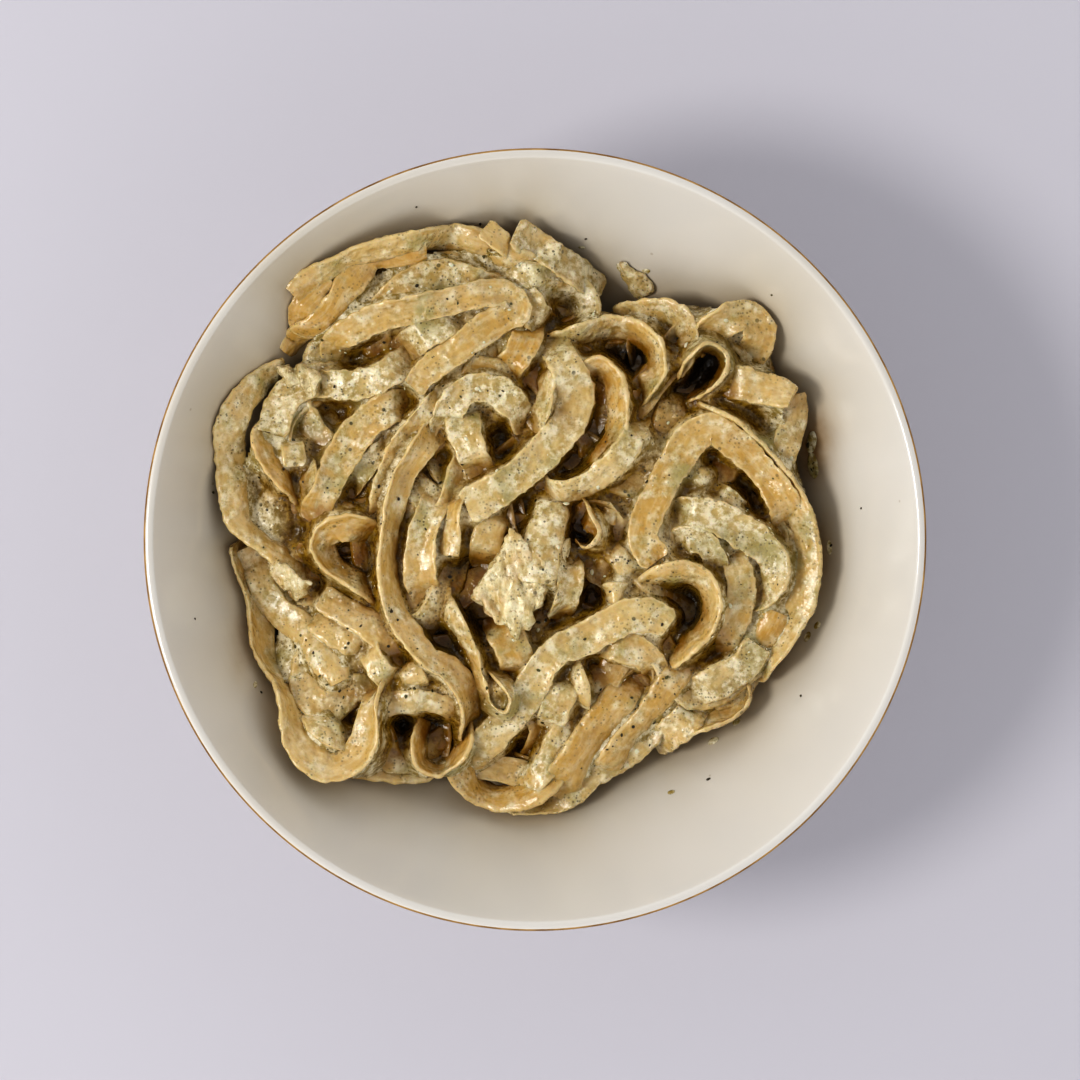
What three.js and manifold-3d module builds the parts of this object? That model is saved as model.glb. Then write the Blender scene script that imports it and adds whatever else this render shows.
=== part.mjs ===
// A bowl of pesto tagliatelle: a wide glazed coupe bowl on a low foot, the heap of flat ribbon
// noodles that fills it, the pieces of chicken among the noodles and one scrap of noodle on the wall.
// Millimetres, +Z up. The origin is on the surface the bowl stands on, under the middle of its foot.
import * as THREE from 'three';
import { mergeVertices } from 'three/addons/utils/BufferGeometryUtils.js';
import Module from 'manifold-3d';

const wasm = await Module();
wasm.setup();

// Bowl
const RIM_RADIUS = 98;
const BOWL_HEIGHT = 56;
const LIP_THICKNESS = 2.8;
const LIP_SLOPE = 58;
const FLOOR_RADIUS = 30;
const FLOOR_TOP = 7;
const FLOOR_THICKNESS = 5;
const FOOT_RADIUS = 38;
const FOOT_WIDTH = 3.5;
const FOOT_HEIGHT = 3;
const BOWL_SEGMENTS = 48;
const WALL_STEPS = 8;

// Heap of noodles: the packed core, and the ribbons that lie above it, each on its own bed
const GAP = 0.3;
const CORE_RADIUS = 67;
const BED_TOP = 39.5;
const BED_SIDE = 7.5;
const CORE_TOP = 34.5;
const CORE_SIDE = 4.5;
const BED_DEPTH = 6;
const CORE_ROUNDING = 2.4;
const CORE_SHOULDER = 0.8;
const CORE_SEGMENTS = 28;
const CORE_RINGS = [1, 0.86, 0.62, 0.34];
const NOODLE_THICKNESS = 2.4;
const NOODLE_STEP = 5.5;
const NOODLE_SINK = 0.9;
const HEAP_CEILING = 48.5;
const PILE_CELL = 1;
const PILE_HALF = 92;
const SAG_ROUNDS = 14;
const JUST_INSIDE = 0.9999;
const SLIVER = 0.02;

// Chicken and the scrap of noodle
const CHICKEN_BEVEL = 1.6;
const CHICKEN_SINK = 2.5;
const CHICKEN_SLOPE = 0.45;
const SCRAP_SIZE = [7.5, 6.5, 1.8];
const SCRAP_PLACE = [26.3, 65.8];
const SCRAP_LIFT = 0.5;

const LOOKS = {
  glaze: { color: 0xe4dccd, roughness: 0.18 },
  noodle: { color: 0xcfae70, roughness: 0.42 },
  chicken: { color: 0xd2b597, roughness: 0.55 },
};

const RAD = Math.PI / 180;
const mix = (a, b, t) => a + (b - a) * t;

// ---- Solids ---------------------------------------------------------------------------------

// Merges the shared corners of a geometry and drops its faces of no area.
function welded(geometry) {
  geometry.deleteAttribute('normal');
  geometry.deleteAttribute('uv');
  const merged = mergeVertices(geometry, 1e-4);
  const corners = Array.from(merged.index.array);
  const kept = [];
  for (let i = 0; i < corners.length; i += 3) {
    const [a, b, c] = corners.slice(i, i + 3);
    if (a !== b && b !== c && c !== a) kept.push(a, b, c);
  }
  merged.setIndex(kept);
  return merged;
}

function toSolid(geometry) {
  const shape = welded(geometry);
  return new wasm.Manifold(new wasm.Mesh({
    numProp: 3,
    vertProperties: new Float32Array(shape.attributes.position.array),
    triVerts: new Uint32Array(shape.index.array),
  }));
}

function toGeometry(solid) {
  const mesh = solid.getMesh();
  const geometry = new THREE.BufferGeometry();
  geometry.setAttribute('position', new THREE.BufferAttribute(mesh.vertProperties, 3));
  geometry.setIndex(new THREE.BufferAttribute(mesh.triVerts, 1));
  return geometry;
}

// The one biggest body of a solid, without its sealed hollows and loose crumbs.
function biggest(solid) {
  return solid.decompose().reduce((best, body) => (body.volume() > best.volume() ? body : best));
}

// A closed solid through rings of the same number of points, each ring seen anticlockwise
// from the end that the rings run towards.
function loft(rings) {
  const sides = rings[0].length;
  const points = rings.flat();
  const faces = [];
  for (let k = 0; k < rings.length - 1; k += 1) {
    for (let j = 0; j < sides; j += 1) {
      const a = k * sides + j;
      const b = k * sides + ((j + 1) % sides);
      faces.push(a, b, b + sides, a, b + sides, a + sides);
    }
  }
  const last = (rings.length - 1) * sides;
  for (let j = 1; j < sides - 1; j += 1) {
    faces.push(0, j + 1, j);
    faces.push(last, last + j, last + j + 1);
  }
  const geometry = new THREE.BufferGeometry().setFromPoints(points);
  geometry.setIndex(faces);
  return geometry;
}

function turned(profile, segments) {
  return new THREE.LatheGeometry(profile, segments).rotateX(Math.PI / 2);
}

// ---- Bowl -----------------------------------------------------------------------------------

const lipRadius = LIP_THICKNESS / 2;
const lipCentre = new THREE.Vector2(RIM_RADIUS - lipRadius, BOWL_HEIGHT - lipRadius);
const lipOutward = new THREE.Vector2(Math.sin(LIP_SLOPE * RAD), -Math.cos(LIP_SLOPE * RAD));
const wallEnd = lipCentre.clone().addScaledVector(lipOutward, -lipRadius);
const wallCurve = Math.tan(LIP_SLOPE * RAD) * (wallEnd.x - FLOOR_RADIUS) / (wallEnd.y - FLOOR_TOP);

// Height of the bowl's inner surface at a distance from its axis.
function innerHeight(r) {
  const s = Math.max(0, (r - FLOOR_RADIUS) / (wallEnd.x - FLOOR_RADIUS));
  return FLOOR_TOP + (wallEnd.y - FLOOR_TOP) * s ** wallCurve;
}

function innerSlope(r) {
  const s = Math.max(0, (r - FLOOR_RADIUS) / (wallEnd.x - FLOOR_RADIUS));
  return wallCurve * (wallEnd.y - FLOOR_TOP) / (wallEnd.x - FLOOR_RADIUS) * s ** (wallCurve - 1);
}

// A point of the wall, a depth behind the inner surface.
function wallPoint(r, depth) {
  const slope = innerSlope(r);
  const length = Math.hypot(slope, 1);
  return new THREE.Vector2(r + depth * slope / length, innerHeight(r) - depth / length);
}

const wallRadius = (k) => mix(FLOOR_RADIUS, wallEnd.x, k / WALL_STEPS);

function bowlGeometry() {
  const underside = FLOOR_TOP - FLOOR_THICKNESS;
  const profile = [
    new THREE.Vector2(0, underside),
    new THREE.Vector2(FOOT_RADIUS - FOOT_WIDTH, underside),
    new THREE.Vector2(FOOT_RADIUS - FOOT_WIDTH, 0),
    new THREE.Vector2(FOOT_RADIUS, 0),
    new THREE.Vector2(FOOT_RADIUS + 1, FOOT_HEIGHT),
  ];
  for (let k = 2; k < WALL_STEPS; k += 1) {
    profile.push(wallPoint(wallRadius(k), mix(FLOOR_THICKNESS, LIP_THICKNESS, k / WALL_STEPS)));
  }
  for (const degrees of [LIP_SLOPE - 90, 0, 30, 60, 90, 90 + LIP_SLOPE / 2]) {
    const out = new THREE.Vector2(Math.cos(degrees * RAD), Math.sin(degrees * RAD));
    profile.push(lipCentre.clone().addScaledVector(out, lipRadius));
  }
  for (let k = WALL_STEPS; k >= 0; k -= 1) profile.push(wallPoint(wallRadius(k), 0));
  profile.push(new THREE.Vector2(0, FLOOR_TOP));
  return welded(turned(profile, BOWL_SEGMENTS));
}

// The space inside the bowl, held clear of its surface by the gap.
function bowlSpace() {
  const profile = [new THREE.Vector2(0, FLOOR_TOP + GAP)];
  for (let k = 0; k <= WALL_STEPS; k += 1) profile.push(wallPoint(wallRadius(k), -GAP));
  profile.push(new THREE.Vector2(wallEnd.x - GAP, BOWL_HEIGHT + 1), new THREE.Vector2(0, BOWL_HEIGHT + 1));
  return toSolid(turned(profile, BOWL_SEGMENTS));
}

// ---- Heap -----------------------------------------------------------------------------------

// Where the heap's edge swells out or draws in: direction, half width in degrees, reach.
const LOBES = [
  [121, 34, 12], [168, 14, 8], [-135, 16, 12], [45, 16, 10], [0, 25, 4],
  [74, 12, -9], [-66, 18, -6], [-103, 14, -4],
];

function coreRadius(degrees) {
  return LOBES.reduce((r, [at, half, reach]) => {
    const off = (((degrees - at + 540) % 360) - 180) / half;
    return r + reach * Math.exp(-off * off);
  }, CORE_RADIUS);
}

// Height of a dome over the heap, from its height above the wall at the side and in the middle.
function domeTop(x, y, sideRise, middle) {
  const edge = coreRadius(Math.atan2(y, x) / RAD);
  const rho = Math.hypot(x, y) / edge;
  const side = innerHeight(edge) + sideRise;
  return rho < 1 ? mix(side, middle, (1 - rho ** CORE_ROUNDING) ** CORE_SHOULDER) : -Infinity;
}

function coreSolid() {
  const ring = (part, height) => Array.from({ length: CORE_SEGMENTS }, (_, j) => {
    const degrees = 360 * j / CORE_SEGMENTS;
    const r = coreRadius(degrees) * part;
    const x = r * Math.cos(degrees * RAD);
    const y = r * Math.sin(degrees * RAD);
    return new THREE.Vector3(x, y, height(x, y));
  });
  const floorAt = (x, y) => innerHeight(Math.hypot(x, y)) + 2 * GAP;
  const topAt = (x, y) => domeTop(x * JUST_INSIDE, y * JUST_INSIDE, CORE_SIDE, CORE_TOP);
  const below = [...CORE_RINGS].reverse().map((part) => ring(part, floorAt));
  const above = CORE_RINGS.map((part) => ring(part, topAt));
  return toSolid(loft([...below, ...above]));
}

// The ribbons from the lowest to the highest. Each has its width, how far it leans off flat at its
// start and its end in degrees (positive lifts the edge on its left) and the few points it passes.
const RIBBONS = [
  [6, 0, 0, [-10, -67], [4, -67.8], [16, -60.5], [32, -47]],
  [8.5, -55, -50, [-77, -1], [-72, -20], [-68, -33], [-61, -50], [-52, -58], [-43, -52], [-38.5, -35]],
  [8.5, -45, -50, [-64, 44], [-75, 34], [-77, 19], [-69, 0], [-56, -10.5]],
  [8.5, 60, 30, [41, 34], [58, 23], [68.3, 4], [69, -10], [64.5, -24], [56, -35]],
  [8, 0, 0, [-7, 66], [0, 58], [3.5, 53]],
  [8, 15, 50, [-12, 70.5], [1, 66.5], [11.5, 62.8], [13.3, 58.5], [8, 53.2], [3.5, 52.5]],
  [8, 60, 40, [3, 50], [15, 53], [26.5, 52.5], [31.5, 43], [25, 34]],
  [8, 45, 45, [21, 57], [32, 58.5], [39, 52], [35.5, 42]],
  [7.5, 10, 10, [65.5, 36], [66.5, 31.5], [65, 27], [63, 19.5]],
  [8, 0, 0, [-2, 56], [-5, 46], [-9, 42]],
  [7.5, 20, -40, [38.5, -29], [32.5, -40], [24, -51], [14, -62]],
  [7, 0, 0, [11.5, -44], [3, -57], [-6, -66]],
  [9.8, 0, 0, [25.5, -34], [12.5, -53], [5, -66]],
  [9.5, -42, -42, [-19.5, -56], [-13, -65], [-2, -64.8], [5, -57]],
  [7.5, 60, 60, [-18, -46], [-21, -57], [-29, -57.5], [-28, -46]],
  [7, 35, 35, [54.5, -34], [49.5, -43], [36, -49.5]],
  [8.5, 0, 55, [33, 7], [46, 5.8], [61, -5], [55, -17]],
  [8, 0, 0, [49, -1], [52.5, -13], [45.5, -31]],
  [7.5, -45, -45, [-27.5, 73.3], [-42, 71.5], [-52, 57.5], [-63.5, 47.5]],
  [8, 45, 40, [-61, 61.5], [-46, 71.5], [-20, 76.3], [0, 69]],
  [8, 10, 10, [-41, 56], [-30, 66], [-8, 62.5]],
  [8, 0, 0, [-23, 14], [-29, -6], [-26.5, -16]],
  [7.5, -25, -50, [-24, 30], [-36, 9], [-36.8, -13.5], [-31.3, -25], [-20.5, -32.5], [-17, -46]],
  [8, -55, -55, [-39.5, -4], [-47, 3.5], [-53.5, -1.5], [-47, -9.5], [-38, -15]],
  [8.5, 0, 0, [-74, -2], [-68.5, -15], [-57, -25], [-50, -36.5]],
  [8, 0, 0, [-54.5, -14.5], [-43.5, -20.8], [-35, -29]],
  [8, 0, 0, [-60, 40.5], [-48, 39.3], [-42, 40], [-30, 46.5]],
  [8.5, 0, 0, [-29.5, 34.5], [-41, 31], [-49, 20.5], [-57, 4.5]],
  [8.5, 0, 0, [-50, 41.5], [-60.5, 36], [-66, 27]],
  [8.5, 0, 0, [-19, 36], [-18, 28], [-13.5, 16]],
  [8, 5, -45, [-24, 27], [-17, 38], [-7, 35.8], [-3, 27]],
  [6, 35, 35, [3, 49], [2.8, 37], [-1.5, 25.5]],
  [7, 15, -50, [26.5, 33.5], [22.5, 22], [8, 12], [0, 15.5]],
  [8, 42, 42, [11, 36], [15.5, 43.8], [21.3, 35], [18.5, 22], [10, 15]],
  [9, 0, 0, [5, 8.5], [1.5, 1], [-0.5, -7]],
  [9, 0, 0, [-9, -18], [-4, -30], [-5, -36]],
  [8, 0, 0, [62, -18.5], [56, -29], [38, -40]],
  [9, 30, 0, [41, 52.5], [50.5, 56.5], [57, 52.5], [52.5, 45.5]],
  [7, 60, 60, [36.5, 41], [43.5, 49.5], [49, 44.5], [39, 36]],
  [8.5, 0, 0, [48, 40.5], [65, 35.5]],
  [8, 55, 55, [28.5, -13], [36, -8], [44.5, -12.5], [42, -23.5], [33, -30]],
  [8, 0, 0, [14, -26], [26, -28.5], [31.5, -36]],
  [8.5, 0, 0, [31, -5.5], [28.5, 6], [40.5, 26.5], [49, 25.5], [63, 7.5], [65, 2]],
  [9.2, 0, 0, [-17.5, 8], [-5, 16], [9, 31], [6, 49]],
  [8.5, 0, 0, [34, -22], [18.5, -22], [2, -32], [-9, -48], [-18, -58]],
  [6, 60, 60, [-23.5, -13], [-15.3, -31], [-7.3, -44], [-13, -31]],
  [8.5, 0, 0, [-5, 78], [6, 71], [17, 63.5]],
  [7.5, 0, 0, [-52, 45.5], [-38, 56.5], [-14, 62.5], [-4.5, 58.5], [-18, 49.5], [-31, 38.5]],
];

// The pile's own height, cell by cell, which each ribbon rests on and then adds to. It starts
// above the core, because what lies between the two shows only as the dips between the ribbons.
const pileSide = 2 * PILE_HALF / PILE_CELL + 1;
const pile = new Float64Array(pileSide * pileSide);
const pileIndex = (x, y) => {
  const column = Math.round((x + PILE_HALF) / PILE_CELL);
  const row = Math.round((y + PILE_HALF) / PILE_CELL);
  return row * pileSide + column;
};
for (let row = 0; row < pileSide; row += 1) {
  for (let column = 0; column < pileSide; column += 1) {
    const x = column * PILE_CELL - PILE_HALF;
    const y = row * PILE_CELL - PILE_HALF;
    const wall = innerHeight(Math.min(Math.hypot(x, y), wallEnd.x)) + GAP;
    pile[row * pileSide + column] = Math.max(wall, domeTop(x, y, BED_SIDE, BED_TOP));
  }
}

// A ribbon's stations: place, the direction across it and the direction out of its upper face.
function stations([width, leanStart, leanEnd, ...route]) {
  const curve = new THREE.CatmullRomCurve3(route.map(([x, y]) => new THREE.Vector3(x, y, 0)));
  const count = Math.max(3, Math.round(curve.getLength() / NOODLE_STEP));
  return Array.from({ length: count + 1 }, (_, k) => {
    const place = curve.getPointAt(k / count);
    const along = curve.getTangentAt(k / count);
    const lean = mix(leanStart, leanEnd, k / count) * RAD;
    const left = new THREE.Vector3(-along.y, along.x, 0);
    const across = left.clone().multiplyScalar(Math.cos(lean));
    across.z = Math.sin(lean);
    const out = left.clone().multiplyScalar(-Math.sin(lean));
    out.z = Math.cos(lean);
    return { place, across, out, width };
  });
}

function overWidth(station, visit) {
  const half = station.width / 2;
  for (let u = -half; u <= half + 1e-6; u += half / 4) {
    const x = station.place.x + u * station.across.x;
    const y = station.place.y + u * station.across.y;
    visit(x, y, u * station.across.z);
  }
}

// Lays a ribbon on the pile: it rests on the highest thing under it and bridges the hollows. Its
// bed, which fills the space straight below it, carries it on the core.
function lay(ribbon) {
  const path = stations(ribbon);
  const half = NOODLE_THICKNESS / 2;
  const rest = path.map((station) => {
    let height = -Infinity;
    overWidth(station, (x, y, rise) => {
      height = Math.max(height, pile[pileIndex(x, y)] - rise + half * station.out.z);
    });
    const ceiling = HEAP_CEILING - half - Math.abs(station.across.z) * station.width / 2;
    return Math.min(height - NOODLE_SINK, ceiling);
  });
  let height = rest.slice();
  for (let round = 0; round < SAG_ROUNDS; round += 1) {
    height = height.map((z, k) => {
      const before = height[Math.max(0, k - 1)];
      const after = height[Math.min(height.length - 1, k + 1)];
      return Math.max(rest[k], (before + 2 * z + after) / 4);
    });
  }
  path.forEach((station, k) => { station.place.z = height[k]; });
  for (let k = 0; k < path.length - 1; k += 1) {
    for (let part = 0; part <= 1; part += 0.1) {
      const blend = {
        place: path[k].place.clone().lerp(path[k + 1].place, part),
        across: path[k].across.clone().lerp(path[k + 1].across, part),
        width: path[k].width,
      };
      overWidth(blend, (x, y, rise) => {
        const cell = pileIndex(x, y);
        pile[cell] = Math.max(pile[cell], blend.place.z + rise + half * path[k].out.z);
      });
    }
  }
  const corner = (station, u, t) => station.place.clone()
    .addScaledVector(station.across, u * station.width / 2)
    .addScaledVector(station.out, t * half);
  const bed = new THREE.Vector3(0, 0, -BED_DEPTH);
  return toSolid(loft(path.map((station) => [
    corner(station, 1, 1),
    corner(station, -1, 1),
    corner(station, -1, -1).add(bed),
    corner(station, 1, -1).add(bed),
  ])));
}

// ---- Chicken and scrap ----------------------------------------------------------------------

// Outline and thickness of each piece of chicken.
const CHICKEN = {
  chicken_chunk: {
    outline: [[-6, 2.5], [-10, -5], [-16, -14.8], [-10, -20.5], [-4.5, -25], [0, -20.8], [3, -13], [3, -5]],
    thick: 8,
  },
  chicken_strip_upper: { outline: [[-54, 41], [-60, 45], [-66, 44], [-64, 40.5], [-56, 36.5]], thick: 4.5 },
  chicken_strip_lower: { outline: [[-66, -5.5], [-68, -7.5], [-60, -15], [-57, -12], [-61, -8]], thick: 4.5 },
  chicken_bit: { outline: [[8.4, 0.4], [5.4, -0.5], [5.2, -6], [7.2, -6.8], [8.9, -2.5]], thick: 4 },
};

const middleOf = (outline) => outline.reduce(
  (sum, point) => sum.addScaledVector(new THREE.Vector2(...point), 1 / outline.length),
  new THREE.Vector2(),
);

// The plane that fits the pile's height at the corners of an outline, held to an easy slope.
function restingPlane(outline) {
  const middle = middleOf(outline);
  const corners = outline.map(([x, y]) => [x - middle.x, y - middle.y, pile[pileIndex(x, y)]]);
  const sum = (term) => corners.reduce((total, corner) => total + term(corner), 0);
  const xx = sum(([x]) => x * x);
  const yy = sum(([, y]) => y * y);
  const xy = sum(([x, y]) => x * y);
  const xz = sum(([x, , z]) => x * z);
  const yz = sum(([, y, z]) => y * z);
  const area = xx * yy - xy * xy;
  return {
    middle,
    height: sum(([, , z]) => z) / corners.length,
    slopeX: THREE.MathUtils.clamp((xz * yy - yz * xy) / area, -CHICKEN_SLOPE, CHICKEN_SLOPE),
    slopeY: THREE.MathUtils.clamp((yz * xx - xz * xy) / area, -CHICKEN_SLOPE, CHICKEN_SLOPE),
  };
}

// A piece of chicken sunk a little into what it rests on, or grown by a gap all round.
function chickenGeometry({ outline, thick }, plane, grow) {
  const inward = ([x, y]) => {
    const away = new THREE.Vector2(x, y).sub(plane.middle);
    return away.setLength(away.length() - CHICKEN_BEVEL).add(plane.middle);
  };
  const geometry = new THREE.ExtrudeGeometry(new THREE.Shape(outline.map(inward)), {
    depth: thick - 2 * CHICKEN_BEVEL + 2 * grow,
    bevelThickness: CHICKEN_BEVEL,
    bevelSize: CHICKEN_BEVEL + grow,
    bevelSegments: 2,
  });
  const at = geometry.attributes.position;
  for (let i = 0; i < at.count; i += 1) {
    const tilt = plane.slopeX * (at.getX(i) - plane.middle.x) + plane.slopeY * (at.getY(i) - plane.middle.y);
    at.setZ(i, at.getZ(i) + plane.height + tilt + CHICKEN_BEVEL - CHICKEN_SINK - grow);
  }
  return geometry;
}

// The scrap of noodle lies on the slope of the wall.
function scrapGeometry() {
  const r = Math.hypot(...SCRAP_PLACE);
  const at = wallPoint(r, -SCRAP_LIFT - SCRAP_SIZE[2] / 2);
  const scrap = new THREE.BoxGeometry(...SCRAP_SIZE);
  scrap.rotateY(-Math.atan(innerSlope(r)));
  scrap.translate(at.x, 0, at.y);
  return welded(scrap.rotateZ(Math.atan2(SCRAP_PLACE[1], SCRAP_PLACE[0])));
}

// ---- Assembly -------------------------------------------------------------------------------

function named(name, geometry, look) {
  const mesh = new THREE.Mesh(geometry, new THREE.MeshStandardMaterial({ metalness: 0, ...LOOKS[look] }));
  mesh.name = name;
  return mesh;
}

const food = new THREE.Group();
food.add(named('bowl', bowlGeometry(), 'glaze'));

let heap = coreSolid();
for (const ribbon of RIBBONS) heap = heap.add(lay(ribbon));
const space = bowlSpace();
heap = heap.intersect(space);
for (const [name, piece] of Object.entries(CHICKEN)) {
  const plane = restingPlane(piece.outline);
  heap = heap.add(toSolid(chickenGeometry(piece, plane, 0).translate(0, 0, -BED_DEPTH)).intersect(space));
  heap = heap.subtract(toSolid(chickenGeometry(piece, plane, GAP)));
  const chicken = toSolid(chickenGeometry(piece, plane, 0)).intersect(space);
  food.add(named(name, toGeometry(chicken), 'chicken'));
}
food.add(named('tagliatelle', toGeometry(biggest(heap).simplify(SLIVER)), 'noodle'));
food.add(named('noodle_scrap', scrapGeometry(), 'noodle'));

export default food;
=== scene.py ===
import math

import bpy
import numpy as np
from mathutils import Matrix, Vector, kdtree, noise


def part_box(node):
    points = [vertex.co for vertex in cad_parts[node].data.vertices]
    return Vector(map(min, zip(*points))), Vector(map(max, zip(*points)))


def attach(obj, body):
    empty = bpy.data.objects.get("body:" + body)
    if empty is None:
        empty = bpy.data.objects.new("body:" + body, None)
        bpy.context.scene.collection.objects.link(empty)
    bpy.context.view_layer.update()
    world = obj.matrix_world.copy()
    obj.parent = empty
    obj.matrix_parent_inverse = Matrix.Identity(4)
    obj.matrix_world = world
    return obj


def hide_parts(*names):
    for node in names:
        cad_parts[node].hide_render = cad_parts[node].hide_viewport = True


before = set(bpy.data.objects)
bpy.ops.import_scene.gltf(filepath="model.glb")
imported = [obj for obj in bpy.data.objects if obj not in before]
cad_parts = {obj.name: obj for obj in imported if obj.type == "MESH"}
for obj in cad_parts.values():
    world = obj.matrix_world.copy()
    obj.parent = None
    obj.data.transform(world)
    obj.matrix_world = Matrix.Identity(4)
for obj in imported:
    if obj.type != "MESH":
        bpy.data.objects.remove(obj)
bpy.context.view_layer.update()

# Lengths below are in millimetres unless a name says otherwise; meshes are made in metres.
MM = 0.001
BODY = "root"

# Bowl
bowl_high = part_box("bowl")[1]
RIM_RADIUS = bowl_high.x / MM
BOWL_HEIGHT = bowl_high.z / MM
BOWL_CENTRE_HEIGHT = 30
LIP_THICKNESS = 2.8
LIP_SLOPE = math.radians(58)
FLOOR_RADIUS = 30
FLOOR_TOP = 7
FLOOR_THICKNESS = 5
FOOT_RADIUS = 38
FOOT_WIDTH = 3.5
FOOT_HEIGHT = 3
BOWL_SEGMENTS = 240
WALL_STEPS = 40
GILT_FROM = math.radians(-14)
GILT_TO = math.radians(52)

# Heap
CELL = 0.6
PILE_HALF = 90.0
HEAP_RADIUS = 67
HEAP_MIDDLE = 39.5
HEAP_SIDE = 7.5
HEAP_CEILING = 48.3
HEAP_ROUNDNESS = 2.4
HEAP_FULLNESS = 0.8
UNDER_DEPTH = 7
HOLLOW_DEPTH = 10
HOLLOW_SPREAD = 1.1
OUTSIDE = -100.0

# Noodles
NOODLE_THICKNESS = 1.45
NOODLE_WIDTH = 8.0
VISIBLE_STEP = 0.85
HIDDEN_STEP = 2.4
FINE_STEP = 0.4
PLACES_ACROSS = 11
FINE_PLACES_ACROSS = 25
# A strand rests on the third highest of the places across it, and is stiff over this length.
RESTS_ON = -3
STIFF_OVER = 40
# How a flat strand turns towards the slope it lies on.
MOST_SLOPE = 0.6
FLAT_UNDER = 45
TURN_SHARE = 0.75
SLOPE_EASING = 12
# Least gaps over the bowl's wall, and how much of its edge a strand keeps under the ceiling.
GRID_OVER_WALL = 0.15
STRAND_OVER_WALL = 0.1
CEILING_SHARE = 0.6
BARE_SAUCE = 0.6
HIDDEN_NOODLES = 110
HIDDEN_DROP = (1, 6)
LOW_DROP = 3.5
# Ends: how they sink into the heap, or lift off it.
DIVE_REACH = 9
DIVE_DEPTH = 6
LIFT_REACH = 22.0
END_LIFT = 5.0

# Sauce: how far it stays in from a noodle's edges and below its top, its underside over the bowl
# and its least thickness, and how much it is lowered at the end.
SAUCE_INSET = 0.7
SAUCE_SINK = 0.35
SAUCE_FLOOR = 0.35
LEAST_SAUCE = 1.5
SAUCE_LOWERED = 0.5
# Radius and reach of the rounding that fills the creases, with little sauce and with much.
THIN_FILLET = (0.8, 7)
THICK_FILLET = (3.0, 12)
# From what amount on a noodle's own sauce fills the creases, and how strongly.
SAUCE_FROM = 0.35
SAUCE_FILL = 0.4
RIPPLE_HEIGHT = 0.3
RIPPLE_STRETCH = 0.35
# The sauce reaches where the heap stands this high over the bowl, and wherever the heap, drawn in
# by the second figure, has some height.
HEAP_OVER_WALL = 0.6
EDGE_STRETCH = 1.06
# How full a pool is where it starts to count, how much lower than the roof of the heap it lies, and
# how much more towards its bank.
POOL_FROM = 0.45
POOL_DROP = 2.5
POOL_BANK = 6
# Radius and reach of the smooth roof over the heap, from which the depth of the shade is taken.
ROOF_REACH = (14, 14)
# Noodles this near to the heap's edge lie in the light, so they are shaded less.
OPEN_RIM = 12.0

# Camera and light
VIEW_WIDTH = 270 * MM
VIEW_CENTRE = (1.25 * MM, -0.1 * MM)
CAMERA_ABOVE_RIM = 1.0
SENSOR = 36.0
SIDE_SKY_UNDER = 0.45
SKY_SIDE = 0.91
SKY_TOP = 0.24
KEY_DISTANCE = 1.6
KEY_SIZE = 0.5
KEY_POWER = 9.0
KEY_HEIGHT = math.radians(47)
KEY_FROM = math.radians(188)
TABLE_HALF = 1500


# ---------------------------------------------------------------------------------------------
# Small helpers
# ---------------------------------------------------------------------------------------------


def rgb(red, green, blue):
    """A display colour, 0 to 255, as the linear colour that the shaders take."""
    def linear(value):
        value /= 255
        return value / 12.92 if value <= 0.04045 else ((value + 0.055) / 1.055) ** 2.4
    return (linear(red), linear(green), linear(blue), 1.0)


def hump(x, y, px, py, rx, ry):
    """1 at a place, fading away over its half widths."""
    return np.exp(-((x - px) / rx) ** 2 - ((y - py) / ry) ** 2)


def highest(x, y, spots, start=0.0):
    """The largest of the humps of some spots: place, half widths, amount."""
    result = np.zeros_like(np.asarray(x, dtype=float)) + start
    for px, py, rx, ry, amount in spots:
        result = np.maximum(result, amount * hump(x, y, px, py, rx, ry))
    return result


def placed(name, mesh, material=None, smooth=True, replaces=()):
    """A finished piece in the scene, riding on the object's one body."""
    piece = bpy.data.objects.new(name, mesh)
    bpy.context.scene.collection.objects.link(piece)
    if material is not None:
        mesh.materials.clear()
        mesh.materials.append(material)
    if smooth:
        mesh.shade_smooth()
    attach(piece, BODY)
    if replaces:
        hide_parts(*replaces)
    return piece


def mesh_of(name, points, faces, edges=()):
    """A mesh from points in millimetres."""
    mesh = bpy.data.meshes.new(name)
    mesh.from_pydata([tuple(p) for p in np.asarray(points) * MM], list(edges), faces)
    if faces:
        mesh.validate()
    return mesh


def give_values(mesh, name, values):
    """Stores a value on each point of a mesh."""
    layer = mesh.attributes.new(name, "FLOAT", "POINT")
    layer.data.foreach_set("value", np.asarray(values, dtype=np.float32))


def give_vectors(mesh, name, vectors):
    layer = mesh.attributes.new(name, "FLOAT_VECTOR", "POINT")
    layer.data.foreach_set("vector", np.asarray(vectors, dtype=np.float32).ravel())


def taken(collection, name):
    """Three numbers of each item of a mesh's collection, as rows."""
    flat = np.empty(len(collection) * 3, dtype=np.float32)
    collection.foreach_get(name, flat)
    return flat.reshape(-1, 3)


def points_of(mesh):
    return taken(mesh.vertices, "co") / MM


# ---------------------------------------------------------------------------------------------
# Node trees: sums between sockets are written as plain sums
# ---------------------------------------------------------------------------------------------


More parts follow.
